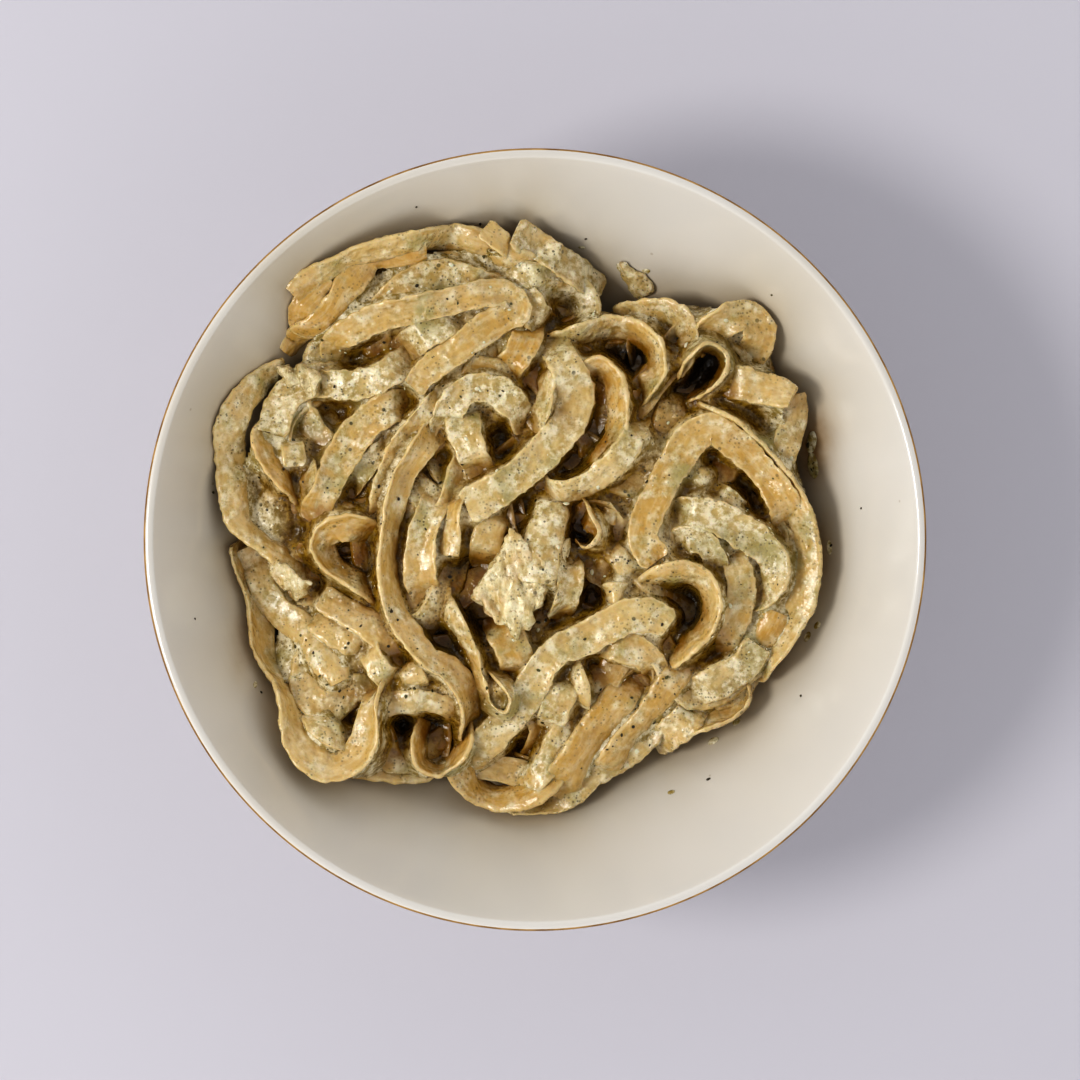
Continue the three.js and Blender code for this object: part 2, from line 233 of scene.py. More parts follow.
class Wire:
    """A node's output, which can be added, subtracted and multiplied with Math nodes."""

    def __init__(self, tree, socket):
        self.tree = tree
        self.socket = socket

    def __add__(self, other):
        return self.tree.maths("ADD", self, other)

    def __sub__(self, other):
        return self.tree.maths("SUBTRACT", self, other)

    def __rsub__(self, other):
        return self.tree.maths("SUBTRACT", other, self)

    def __mul__(self, other):
        return self.tree.maths("MULTIPLY", self, other)

    def __abs__(self):
        return self.tree.maths("ABSOLUTE", self)

    def __or__(self, other):
        """The larger of the two."""
        return self.tree.maths("MAXIMUM", self, other)

    def __getitem__(self, output):
        """Another output of the same node."""
        return Wire(self.tree, self.socket.node.outputs[output])


class Tree:
    """A node tree being built: each method adds a node and gives its output."""

    def __init__(self, group):
        self.group = group

    def feed(self, value, target):
        """Links a wire to an input, or sets the input to a value."""
        if isinstance(value, Wire):
            self.group.links.new(value.socket, target)
        else:
            target.default_value = value

    def add(self, kind, inputs=None, output=0, **settings):
        node = self.group.nodes.new(kind)
        for key, value in settings.items():
            setattr(node, key, value)
        for key, value in (inputs or {}).items():
            self.feed(value, node.inputs[key])
        return Wire(self, node.outputs[output])

    def maths(self, operation, first, second=0.0):
        return self.add("ShaderNodeMath", {0: first, 1: second}, operation=operation)

    def vector(self, operation, first, second):
        return self.add("ShaderNodeVectorMath", {0: first, 1: second}, operation=operation)

    def mixed(self, factor, first, second, blend="MIX"):
        """A colour between two colours."""
        return self.add("ShaderNodeMix", {0: factor, 6: first, 7: second}, 2,
                        data_type="RGBA", blend_type=blend)

    def stepped(self, value, low, high):
        """0 below low, 1 above high, eased between."""
        return self.add("ShaderNodeMapRange", {"Value": value, "From Min": low, "From Max": high},
                        interpolation_type="SMOOTHSTEP")

    def spread(self, value, low, high):
        """A value from 0 to 1, spread evenly from low to high."""
        return self.add("ShaderNodeMapRange", {"Value": value, "To Min": low, "To Max": high})

    def noisy(self, vector, scale, detail=3.0, roughness=0.55):
        """Noise between 0 and 1, with features of about 1/scale metres."""
        return self.add("ShaderNodeTexNoise",
                        {"Vector": vector, "Scale": scale, "Detail": detail, "Roughness": roughness})

    def seeded(self, seed, scale, detail=1.0, output=0):
        """Noise over the geometry's own places, with a seed."""
        return self.add("ShaderNodeTexNoise", {"Scale": scale, "Detail": detail, "W": seed}, output,
                        noise_dimensions="4D")

    def cells(self, vector, scale):
        """Distance to the nearest of evenly strewn points; its Color is one value for each."""
        return self.add("ShaderNodeTexVoronoi", {"Vector": vector, "Scale": scale}, "Distance", feature="F1")

    def stored(self, name):
        """A value stored on the mesh, for a shader."""
        return self.add("ShaderNodeAttribute", output="Fac", attribute_name=name)

    def field(self, name, kind="FLOAT"):
        """A value stored on the mesh, for Geometry Nodes."""
        return self.add("GeometryNodeInputNamedAttribute", {"Name": name}, data_type=kind)

    def shifted(self, geometry, direction, distance):
        offset = self.add("ShaderNodeVectorMath", {0: direction, "Scale": distance}, operation="SCALE")
        return self.add("GeometryNodeSetPosition", {0: geometry, "Offset": offset})

    def speckles(self, vector, scale, radius, share):
        """1 inside small uneven dots: scale sets how close they are, share how many there are."""
        cells = self.cells(vector, scale)
        dot = self.stepped(cells, radius, radius * 0.6)
        return dot * self.stepped(cells["Color"], 1 - share, 1.02 - share)

    def give(self, **outputs):
        """Ends a node group with its outputs."""
        result = self.group.nodes.new("NodeGroupOutput").inputs
        for name, wire in outputs.items():
            self.feed(wire, result[name])
        return self.group

    def shade(self, inputs, height=None, distance=0.0, strength=1.0):
        """Feeds the material's shader, with a height as its bump."""
        shader = self.group.nodes["Principled BSDF"]
        for name, value in inputs.items():
            self.feed(value, shader.inputs[name])
        if height is not None:
            bump = self.add("ShaderNodeBump", {"Height": height, "Distance": distance, "Strength": strength})
            self.feed(bump, shader.inputs["Normal"])


def new_group(name, kind, inputs, outputs):
    """A node group with named inputs, each with its kind and starting value, and named outputs."""
    group = bpy.data.node_groups.new(name, kind)
    for title, sort, start in inputs:
        made = group.interface.new_socket(title, in_out="INPUT", socket_type="NodeSocket" + sort)
        if start is not None:
            made.default_value = start
    for title, sort in outputs:
        group.interface.new_socket(title, in_out="OUTPUT", socket_type="NodeSocket" + sort)
    tree = Tree(group)
    return tree, Wire(tree, group.nodes.new("NodeGroupInput").outputs[0])


# ---------------------------------------------------------------------------------------------
# Geometry Nodes: one tree sweeps noodles, one scatters small things
# ---------------------------------------------------------------------------------------------


def grown(name, mesh, group, values):
    """The plain mesh that a node group makes of a mesh."""
    source = bpy.data.objects.new(name + "_source", mesh)
    bpy.context.scene.collection.objects.link(source)
    modifier = source.modifiers.new(group.name, "NODES")
    modifier.node_group = group
    for item in group.interface.items_tree:
        if item.item_type == "SOCKET" and item.in_out == "INPUT" and item.name in values:
            modifier[item.identifier] = values[item.name]
    evaluated = source.evaluated_get(bpy.context.evaluated_depsgraph_get())
    result = bpy.data.meshes.new_from_object(evaluated)
    result.name = name
    source.modifiers.remove(modifier)
    bpy.data.objects.remove(source)
    return result


def noodle_tree():
    """Sweeps a rounded ribbon section along each line: lean turns it, scale sets its size."""
    tree, given = new_group("noodle_sweep", "GeometryNodeTree", [
        ("Geometry", "Geometry", None),
        ("Width", "Float", NOODLE_WIDTH * MM),
        ("Thickness", "Float", NOODLE_THICKNESS * MM),
        ("Sides", "Int", 22),
        ("Ruffle", "Float", 1.5 * MM),
        ("Frill", "Float", 1.0 * MM),
        ("Lump", "Float", 1.9 * MM),
        ("Ragged", "Float", 2.2 * MM),
        ("Seed", "Float", 3.0),
        ("Material", "Material", None),
    ], [("Geometry", "Geometry")])
    line = tree.add("GeometryNodeMeshToCurve", {0: given["Geometry"]})
    line = tree.add("GeometryNodeSetCurveNormal", {0: line}, mode="Z_UP")
    line = tree.add("GeometryNodeSetCurveTilt", {0: line, "Tilt": tree.field("lean")})

    circle = tree.add("GeometryNodeCurvePrimitiveCircle", {"Resolution": given["Sides"], "Radius": 1.0})
    spot = tree.add("GeometryNodeInputPosition")
    across = tree.add("ShaderNodeSeparateXYZ", {0: spot})
    up = across["Y"]
    plump = tree.maths("POWER", abs(up), 0.35)
    height = tree.maths("SIGN", up) * plump * (given["Thickness"] * 0.5)
    place = tree.add("ShaderNodeCombineXYZ", {0: across * (given["Width"] * 0.5), 1: height})
    section = tree.add("GeometryNodeStoreNamedAttribute", {0: circle, "Name": "edge", "Value": across},
                       data_type="FLOAT", domain="POINT")
    section = tree.add("GeometryNodeSetPosition", {0: section, "Position": place})
    swept = tree.add("GeometryNodeCurveToMesh", {
        "Curve": line, "Profile Curve": section, "Fill Caps": True, "Scale": tree.field("scale")})

    # The ribbon waves, its edges frill and turn up or down, then fray, and sauce lumps it.
    edge, seed = tree.field("edge"), given["Seed"]
    frill = (tree.seeded(seed, 190.0) - 0.5) * given["Frill"] + tree.field("cup")
    rise = (tree.seeded(seed, 75.0) - 0.5) * given["Ruffle"] + edge * edge * frill
    swept = tree.shifted(swept, tree.field("out", "FLOAT_VECTOR"), rise)
    fray = (tree.seeded(seed, 420.0, 3.0) - 0.5) * given["Ragged"] * (edge * abs(edge))
    swept = tree.shifted(swept, tree.field("side", "FLOAT_VECTOR"), fray)
    push = (tree.seeded(seed, 360.0, 2.5) - 0.5) * given["Lump"] * (tree.field("sauce") + 0.35)
    swept = tree.shifted(swept, tree.add("GeometryNodeInputNormal"), push)
    swept = tree.add("GeometryNodeRealizeInstances", {0: swept})
    swept = tree.add("GeometryNodeSetMaterial", {0: swept, "Material": given["Material"]})
    return tree.give(Geometry=swept)


def scatter_tree():
    """Sets one small uneven grain on each point: size stretches it, facing and spin turn it."""
    tree, given = new_group("grain_scatter", "GeometryNodeTree", [
        ("Geometry", "Geometry", None),
        ("Rounds", "Int", 1),
        ("Flatness", "Float", 0.35),
        ("Unevenness", "Float", 0.6),
        ("Seed", "Float", 1.0),
        ("Material", "Material", None),
    ], [("Geometry", "Geometry")])
    points = tree.add("GeometryNodeMeshToPoints", {0: given["Geometry"]})
    grain = tree.add("GeometryNodeMeshIcoSphere", {"Radius": 1.0, "Subdivisions": given["Rounds"]})
    shape = tree.add("ShaderNodeCombineXYZ", {0: 1.0, 1: 0.7, 2: given["Flatness"]})
    grain = tree.add("GeometryNodeTransform", {0: grain, "Scale": shape})
    facing = tree.field("facing", "FLOAT_VECTOR")
    turn = tree.add("FunctionNodeAlignRotationToVector", {"Vector": facing}, axis="Z")
    spin = tree.add("FunctionNodeAxisAngleToRotation", {"Angle": tree.field("spin")})
    turn = tree.add("FunctionNodeRotateRotation", {0: turn, 1: spin}, rotation_space="LOCAL")
    grains = tree.add("GeometryNodeInstanceOnPoints", {
        "Points": points, "Instance": grain, "Rotation": turn, "Scale": tree.field("size", "FLOAT_VECTOR")})
    grains = tree.add("GeometryNodeRealizeInstances", {0: grains})
    wobble = tree.vector("SUBTRACT", tree.seeded(given["Seed"], 1400.0, output=1), (0.5, 0.5, 0.5))
    grains = tree.shifted(grains, wobble, tree.field("reach") * given["Unevenness"])
    grains = tree.add("GeometryNodeSetMaterial", {0: grains, "Material": given["Material"]})
    return tree.give(Geometry=grains)


# ---------------------------------------------------------------------------------------------
# Materials
# ---------------------------------------------------------------------------------------------

CREAM_DULL = rgb(158, 136, 72)
CREAM_PALE = rgb(240, 230, 198)
CREAM_GREEN = rgb(164, 152, 96)
PASTA_PALE = rgb(212, 186, 128)
PASTA_GOLD = rgb(196, 154, 72)
PASTA_STREAK = rgb(238, 222, 180)
# Painted shade for lines along the noodle.
PASTA_FURROW_SHADE = rgb(172, 134, 62)
PASTA_SPECK = rgb(176, 128, 48)
# Painted highlight for the noodles' edges.
PASTA_EDGE_HIGHLIGHT = rgb(240, 222, 172)
# Painted shade below the surface of the heap: warm at first, near black deep down.
WARM_SHADE = rgb(186, 154, 62)
DEEP_SHADE = rgb(24, 13, 1)
HERB_DUST = rgb(72, 66, 34)
HERB_DARK = rgb(52, 42, 18)
HERB_LIGHT = rgb(86, 80, 36)
LUMP_DULL = rgb(206, 196, 158)
LUMP_PALE = rgb(240, 233, 208)
MEAT_DULL = rgb(200, 172, 110)
MEAT_PALE = rgb(236, 220, 174)
MEAT_PINK = rgb(222, 180, 142)
# Painted shade in the pits of the chicken.
MEAT_PIT_SHADE = rgb(132, 104, 50)
GLAZE_COOL = rgb(212, 208, 200)
GLAZE_PALE = rgb(219, 215, 209)
GLAZE_SPECK = rgb(150, 128, 98)
# Oil stain darkened with painted shade.
OIL_AND_SHADE_TINT = rgb(178, 140, 76)
# Painted shade and yellow bounce light from the heap.
BOUNCE_SHADE_TINT = rgb(226, 216, 196)
GILT_DULL = rgb(150, 112, 58)
GILT_BRIGHT = rgb(205, 164, 98)
TABLE_DULL = rgb(196, 193, 199)
TABLE_PALE = rgb(203, 200, 206)


def new_material(name):
    """A material, its tree, and the places on the object."""
    material = bpy.data.materials.new(name)
    material.use_nodes = True
    tree = Tree(material.node_tree)
    return material, tree, tree.add("ShaderNodeTexCoord", output="Object")


def sauce_group():
    """Where the pesto cream lies, its colour, the herb in it, and how thick it is."""
    tree, given = new_group("sauce_coat", "ShaderNodeTree", [
        ("Vector", "Vector", None), ("Amount", "Float", 0.5)], [
        ("Mask", "Float"), ("Herb", "Float"), ("Colour", "Color"), ("Height", "Float")])
    place = given["Vector"]
    broad = tree.noisy(place, 95.0, 2.0)
    patch = tree.noisy(place, 330.0, 1.5, 0.45)
    clot = tree.noisy(place, 560.0, 3.0, 0.68)
    mask = tree.stepped(given["Amount"] + (broad - 0.5) * 2.2 + (patch - 0.5) * 1.8, 0.0, 1.1)
    cream = tree.mixed(tree.stepped(patch * 0.4 + clot * 0.6, 0.4, 0.6), CREAM_DULL, CREAM_PALE)
    cream = tree.mixed(tree.stepped(broad, 0.48, 0.76), cream, CREAM_GREEN)
    crowd = tree.stepped(tree.noisy(place, 140.0, 2.0), 0.42, 0.62)
    big = tree.speckles(place, 300.0, 0.2, 0.3) * 0.95
    middling = tree.speckles(place, 640.0, 0.24, 0.24) * 0.7
    small = tree.speckles(place, 1000.0, 0.36, 0.6) * 0.6
    herb = (big | middling | small) * (crowd * 1.1 + 0.2)
    swell = tree.noisy(place, 460.0, 1.0, 0.4)
    grit = tree.noisy(place, 800.0, 3.0, 0.5)
    return tree.give(Mask=mask, Herb=herb, Colour=cream, Height=swell * 0.36 + grit * (mask * 0.14 + 0.08))


SAUCE = sauce_group()


def sauce_coat(tree, place, amount):
    """The sauce group set in a material."""
    return tree.add("ShaderNodeGroup", {"Vector": place, "Amount": amount}, node_tree=SAUCE)


def shaded(tree, colour, first, last):
    """The colour with painted shade: warmer and darker a little below the surface of the heap, and nearly
    black far down.
    """
    deep = tree.stored("deep")
    warm_shaded = tree.mixed(tree.stepped(deep, 0.7, first), colour, WARM_SHADE, "MULTIPLY")
    return tree.mixed(tree.stepped(deep, first * 0.6, last) * 0.97, warm_shaded, DEEP_SHADE)


def noodle_material():
    """Pasta with pale streaks along it, lines of painted shade along it and a painted highlight on its edges,
    under a film of sauce and herb.
    """
    material, tree, place = new_material("cooked_noodle")
    edge = tree.stored("edge")
    grain = tree.add("ShaderNodeCombineXYZ", {0: edge * 0.004, 1: tree.stored("run") * 0.25})
    warmth = tree.stored("gold") + (tree.noisy(place, 60.0, 2.0) - 0.5)
    pasta = tree.mixed(tree.stepped(warmth, 0.0, 1.1), PASTA_PALE, PASTA_GOLD)
    pasta = tree.mixed(tree.stepped(tree.noisy(grain, 700.0), 0.42, 0.7) * 0.35, pasta, PASTA_STREAK)
    # Lines of painted shade along the noodle.
    pasta = tree.mixed(tree.stepped(tree.noisy(grain, 260.0, 2.0), 0.5, 0.68) * 0.4, pasta, PASTA_FURROW_SHADE)
    pasta = tree.mixed(tree.stepped(tree.noisy(place, 520.0, 3.0, 0.6), 0.5, 0.68) * 0.16, pasta, PASTA_SPECK)
    # A pale painted highlight along the edges, where the sauce film is also thinner.
    rim = tree.stepped(abs(edge), 0.78, 0.97)
    pasta = tree.mixed(rim * 0.35, pasta, PASTA_EDGE_HIGHLIGHT)
    coat = sauce_coat(tree, place, tree.stored("sauce"))
    film = coat["Mask"] * (0.85 - rim * 0.5)
    colour = tree.mixed(film, pasta, coat["Colour"])
    colour = tree.mixed(coat["Herb"] * (film * 0.5 + 0.45), colour, HERB_DUST)
    tree.shade({
        "Base Color": shaded(tree, colour, 5.2, 10.0),
        "Roughness": tree.spread(tree.noisy(place, 450.0, 1.5), 0.12, 0.3),
        "Coat Weight": 0.5,
        "Coat Roughness": 0.22,
        "Subsurface Weight": 0.22,
        "Subsurface Radius": (1.0, 0.6, 0.18),
        "Subsurface Scale": 0.0014,
    }, coat["Height"], 0.0021)
    return material


def sauce_material():
    material, tree, place = new_material("pesto_cream")
    coat = sauce_coat(tree, place, 1.4)
    colour = tree.mixed(coat["Herb"] * 0.9, coat["Colour"], HERB_DUST)
    tree.shade({
        "Base Color": shaded(tree, colour, 4.2, 8.6),
        "Roughness": 0.15,
        "Coat Weight": 0.25,
        "Coat Roughness": 0.15,
        "Subsurface Weight": 0.1,
        "Subsurface Radius": (1.0, 0.8, 0.35),
        "Subsurface Scale": 0.0012,
    }, coat["Height"], 0.0028)
    return material


def herb_material():
    material, tree, place = new_material("chopped_herb")
    tone = tree.noisy(place, 300.0, 1.0)
    colour = tree.mixed(tree.stepped(tone, 0.42, 0.62), HERB_DARK, HERB_LIGHT)
    tree.shade({"Base Color": colour, "Roughness": 0.45}, tone, 0.0002)
    return material


def lump_material():
    material, tree, place = new_material("cream_lump")
    tone = tree.noisy(place, 700.0, 2.0)
    tree.shade({
        "Base Color": tree.mixed(tone, LUMP_DULL, LUMP_PALE),
        "Roughness": 0.22,
        "Subsurface Weight": 0.2,
        "Subsurface Scale": 0.0012,
    }, tone, 0.0003)
    return material


def chicken_material():
    """Pale fibrous meat with a little pink, painted shade in the pits of its relief, and sauce over most of
    it.
    """
    material, tree, place = new_material("cooked_chicken")
    fibre = tree.noisy(tree.vector("MULTIPLY", place, (2.6, 0.8, 1.0)), 170.0, 4.0, 0.6)
    pebble = tree.noisy(place, 480.0, 3.0, 0.65)
    blush = tree.stepped(tree.noisy(place, 120.0, 2.0), 0.52, 0.66) * 0.35
    meat = tree.mixed(tree.stepped(fibre, 0.38, 0.6), MEAT_DULL, MEAT_PALE)
    meat = tree.mixed(blush, meat, MEAT_PINK)
    coat = sauce_coat(tree, place, 0.5)
    colour = tree.mixed(coat["Mask"] * 0.75, meat, coat["Colour"])
    # Painted shade where the pebbled relief dips.
    colour = tree.mixed(tree.stepped(pebble, 0.42, 0.32) * 0.6, colour, MEAT_PIT_SHADE)
    colour = tree.mixed(coat["Herb"] * 0.8, colour, HERB_DUST)
    tree.shade({
        "Base Color": colour,
        "Roughness": 0.18,
        "Coat Weight": 0.5,
        "Coat Roughness": 0.15,
        "Subsurface Weight": 0.12,
        "Subsurface Radius": (1.0, 0.5, 0.3),
        "Subsurface Scale": 0.0015,
    }, fibre * 0.5 + pebble, 0.0009)
    return material


def glaze_material():
    """Ivory glaze with a few specks, with oil and painted shade round the heap, and the heap's yellow painted
    on it as bounce light and shade.
    """
    material, tree, place = new_material("ivory_glaze")
    broad = tree.noisy(place, 22.0, 2.0)
    colour = tree.mixed(broad, GLAZE_COOL, GLAZE_PALE)
    speck = tree.stepped(tree.cells(place, 60.0), 0.03, 0.018)
    colour = tree.mixed(speck * 0.35, colour, GLAZE_SPECK)
    # Painted shade and yellow bounce light, fading away from the heap.
    colour = tree.mixed(tree.stored("bounce_shade"), colour, BOUNCE_SHADE_TINT, "MULTIPLY")
    # Oil stain round the heap together with painted shade at its foot and in its cast shadow on the right.
    oil_and_shade = tree.stored("oil_and_shade") * (tree.noisy(place, 150.0) + 0.55)
    tree.shade({
        "Base Color": tree.mixed(oil_and_shade, colour, OIL_AND_SHADE_TINT, "MULTIPLY"),
        "Roughness": tree.spread(broad, 0.12, 0.22),
        "Coat Weight": 0.3,
        "Coat Roughness": 0.06,
    }, broad + tree.noisy(place, 900.0, 2.0) * 0.01, 0.0006, 0.5)
    return material


def gilt_material():
    material, tree, place = new_material("gilt_line")
    worn = tree.noisy(place, 160.0)
    tree.shade({
        "Base Color": tree.mixed(tree.stepped(worn, 0.3, 0.7), GILT_DULL, GILT_BRIGHT),
        "Metallic": 0.9,
        "Roughness": tree.spread(worn, 0.22, 0.4),
    })
    return material


def table_material():
    material, tree, place = new_material("table_top")
    tone = tree.noisy(place, 3.0, 2.0)
    tree.shade({"Base Color": tree.mixed(tone, TABLE_DULL, TABLE_PALE), "Roughness": 0.75})
    return material


# ---------------------------------------------------------------------------------------------
# Bowl
# ---------------------------------------------------------------------------------------------

lip_radius = LIP_THICKNESS / 2
lip_centre = np.array([RIM_RADIUS - lip_radius, BOWL_HEIGHT - lip_radius])
wall_end = lip_centre - lip_radius * np.array([math.sin(LIP_SLOPE), -math.cos(LIP_SLOPE)])
WALL_RUN = wall_end[0] - FLOOR_RADIUS
WALL_RISE = wall_end[1] - FLOOR_TOP
WALL_CURVE = math.tan(LIP_SLOPE) * WALL_RUN / WALL_RISE


def inner_height(r):
    """Height of the bowl's inner surface at a distance from its axis."""
    part = np.clip((np.asarray(r, dtype=float) - FLOOR_RADIUS) / WALL_RUN, 0, 1)
    return FLOOR_TOP + WALL_RISE * part ** WALL_CURVE


def inner_slope(r):
    """How steeply the inner surface rises at a distance from the axis."""
    part = np.clip((np.asarray(r, dtype=float) - FLOOR_RADIUS) / WALL_RUN, 0, 1)
    return WALL_CURVE * WALL_RISE / WALL_RUN * part ** (WALL_CURVE - 1)


def wall_point(r, depth):
    """A point of the section, a depth below the inner surface."""
    slope = float(inner_slope(r))
    length = math.hypot(slope, 1)
    return (r + depth * slope / length, float(inner_height(r)) - depth / length)


def bowl_profile():
    """The section from the middle of the underside, round the lip, to the middle of the floor."""
    underside = FLOOR_TOP - FLOOR_THICKNESS
    inside = FOOT_RADIUS - FOOT_WIDTH
    profile = [(0, underside), (inside - 1.2, underside), (inside - 0.3, underside - 0.5), (inside, 0.4),
               (inside + 0.4, 0), (FOOT_RADIUS - 0.6, 0), (FOOT_RADIUS, 0.5),
               (FOOT_RADIUS + 0.1, FOOT_HEIGHT - 0.8), (FOOT_RADIUS + 1.2, FOOT_HEIGHT)]
    first = WALL_STEPS // 4
    for k in range(first, WALL_STEPS):
        part = k / WALL_STEPS
        depth = FLOOR_THICKNESS + (LIP_THICKNESS - FLOOR_THICKNESS) * part
        profile.append(wall_point(FLOOR_RADIUS + WALL_RUN * part, depth))
    low, high = LIP_SLOPE - math.pi / 2, LIP_SLOPE + math.pi / 2
    gilt = []
    for angle in sorted([*np.linspace(low, high, 17), 0.0, math.pi / 2, GILT_FROM, GILT_TO]):
        gilt.append((len(profile), angle))
        profile.append(tuple(lip_centre + lip_radius * np.array([math.cos(angle), math.sin(angle)])))
    for k in range(WALL_STEPS - 1, -1, -1):
        profile.append(wall_point(FLOOR_RADIUS + WALL_RUN * k / WALL_STEPS, 0))
    profile.append((0, FLOOR_TOP))
    return profile, {index for index, angle in gilt if GILT_FROM - 1e-6 <= angle < GILT_TO - 1e-6}


def turned(profile, segments):
    """Points and faces of a section turned about the axis, closed at both ends on the axis."""
    ring = profile[1:-1]
    angles = np.arange(segments) * 2 * math.pi / segments
    points = [(0, 0, profile[0][1])]
    points += [(r * math.cos(a), r * math.sin(a), z) for r, z in ring for a in angles]
    points.append((0, 0, profile[-1][1]))
    faces = []
    for j in range(segments):
        after = (j + 1) % segments
        faces.append((0, 1 + after, 1 + j))
        last = 1 + (len(ring) - 1) * segments
        faces.append((len(points) - 1, last + j, last + after))
        for k in range(len(ring) - 1):
            a, b = 1 + k * segments + j, 1 + k * segments + after
            faces.append((a, b, b + segments, a + segments))
    return points, faces


# Oil from the sauce on the wall round the heap, darkened further there by painted shade, and the painted
# shade and yellow bounce light that the heap casts on the glaze.
OIL_AND_SHADE_RIM = 0.15
OIL_AND_SHADE_REACH = 1.4
# Patches of oil and painted shade: place, half widths, amount; those on the right darken the heap's cast
# shadow.
OIL_AND_SHADE_PATCHES = [(71, 24, 4.5, 9, .9), (73, -3, 4, 9, .6), (-75, -26, 2.5, 10, .3)]
BOUNCE_SHADE_REACH = 10.0


def distance_to_heap(pile, spots):
    """How far each place lies from the heap, seen from above."""
    rows, columns = np.nonzero(pile.top > WALL + 1.2)
    heap = kdtree.KDTree(len(rows))
    for k, (x, y) in enumerate(zip(GRID_X[rows, columns], GRID_Y[rows, columns])):
        heap.insert((x, y, 0), k)
    heap.balance()
    return np.array([heap.find((x, y, 0))[2] for x, y, _ in spots.tolist()])


def make_bowl(pile):
    """The bowl, with its gilt line; each point of its inside holds the oil with its painted shade, and the
    painted shade and yellow bounce light from the heap.
    """
    profile, gilt = bowl_profile()
    points, faces = turned(profile, BOWL_SEGMENTS)
    mesh = mesh_of("bowl_glazed", points, faces)
    mesh.materials.append(glaze_material())
    mesh.materials.append(gilt_material())
    gilt_rows = {index - 1 for index in gilt}
    for face in mesh.polygons:
        if len(face.vertices) == 4 and (min(face.vertices) - 1) // BOWL_SEGMENTS in gilt_rows:
            face.material_index = 1
    spots = points_of(mesh)
    x, y, z = spots.T
    away = distance_to_heap(pile, spots)
    inside = z > inner_height(np.hypot(x, y)) - 0.5
    # Oil and painted shade: strongest at the heap's foot and in the patches.
    oil_and_shade = np.maximum(OIL_AND_SHADE_RIM * np.exp(-away / OIL_AND_SHADE_REACH), highest(x, y, OIL_AND_SHADE_PATCHES))
    give_values(mesh, "oil_and_shade", oil_and_shade * inside)
    give_values(mesh, "bounce_shade", np.exp(-away / BOUNCE_SHADE_REACH) * inside)
    placed("bowl_glazed", mesh, replaces=["bowl"])


# ---------------------------------------------------------------------------------------------
# The pile: heights of what lies in the bowl, cell by cell
# ---------------------------------------------------------------------------------------------

SIDE = int(round(2 * PILE_HALF / CELL)) + 1
axis = np.linspace(-PILE_HALF, PILE_HALF, SIDE)
GRID_X, GRID_Y = np.meshgrid(axis, axis)
GRID_R = np.hypot(GRID_X, GRID_Y)

# Where the heap's edge swells out or draws in: direction, half width in degrees, reach.
LOBES = [(121, 34, 12), (168, 14, 8), (-135, 16, 12), (45, 16, 10), (0, 25, 4),
         (74, 12, -9), (-66, 18, -6), (-103, 14, -4)]

# Deep dark hollows between the noodles: place, half widths.
HOLLOWS = [(-42.5, 46.5, 6, 4), (-56, 32.5, 3, 2), (-60, -3, 3, 1.5), (-15, 59, 5, 2), (7.8, 58.5, 3, 3),
           (17, 57, 3, 3), (21.5, 46.5, 5, 3), (-2.5, 39.5, 2, 4), (-9, 27, 5, 6), (-18, -6, 3, 6),
           (-1.5, 8, 4, 3), (11, 4, 3, 5), (12, -13, 3.5, 6), (42, 41, 2.5, 2), (54, 11.5, 5, 4),
           (48, 17, 3, 2.5), (50, 34.5, 5, 1.5), (60, -9, 2.5, 5), (57, -18, 3, 5), (38, -17, 4, 5),
           (43, -29, 5, 3), (10, -46, 1.5, 3), (-22, -26, 2.5, 6), (-11, -28, 1.5, 6),
           (-21.5, -38, 1.8, 3), (-31, -47.5, 3.5, 3.5), (-37.5, -46.5, 2, 3), (-46, -43.5, 3, 2),
           (-6, -52, 4.5, 4), (11, 18, 4, 4), (24.5, -47, 1.5, 6), (24, -8, 1.5, 3), (20, 1.5, 3, 1.5)]


def heap_edge(degrees):
    """How far the heap reaches from the bowl's axis in a direction."""
    edge = np.full_like(np.asarray(degrees, dtype=float), HEAP_RADIUS)
    for at, half, reach in LOBES:
        off = ((degrees - at + 540) % 360 - 180) / half
        edge = edge + reach * np.exp(-off * off)
    return edge


def packed_height(x, y):
    """Height up to which the hidden noodles fill the bowl; far below zero outside the heap."""
    edge = heap_edge(np.degrees(np.arctan2(y, x)))
    rho = np.hypot(x, y) / edge
    side = inner_height(edge) + HEAP_SIDE
    lift = np.clip(1 - rho ** HEAP_ROUNDNESS, 0, 1) ** HEAP_FULLNESS
    return np.where(rho < 1, side + (HEAP_MIDDLE - side) * lift, OUTSIDE)


WALL = inner_height(GRID_R)
BED = packed_height(GRID_X, GRID_Y)
DROP = highest(GRID_X, GRID_Y, [(x, y, across * HOLLOW_SPREAD, deep * HOLLOW_SPREAD, HOLLOW_DEPTH)
                                for x, y, across, deep in HOLLOWS])
CORE = BED - UNDER_DEPTH - DROP
PACKED = BED - DROP


def cells(x, y):
    """Rows and columns of the grid's cells at places."""
    column = np.clip(np.rint((x + PILE_HALF) / CELL).astype(int), 0, SIDE - 1)
    row = np.clip(np.rint((y + PILE_HALF) / CELL).astype(int), 0, SIDE - 1)
    return row, column


def eased(values, times=1):
    """Values along a line, each drawn towards its neighbours a number of times."""
    for _ in range(times):
        padded = np.concatenate([values[:1], values, values[-1:]])
        values = (padded[:-2] + 2 * padded[1:-1] + padded[2:]) / 4
    return values


def ribbon(line, width, count):
    """Steps across a ribbon along its line, and the places under them."""
    across = np.linspace(-0.5, 0.5, count)[None, :] * width[:, None]
    flat = across * np.cos(line["lean"])[:, None]
    x = line["x"][:, None] + flat * line["left_x"][:, None]
    y = line["y"][:, None] + flat * line["left_y"][:, None]
    return across, x, y


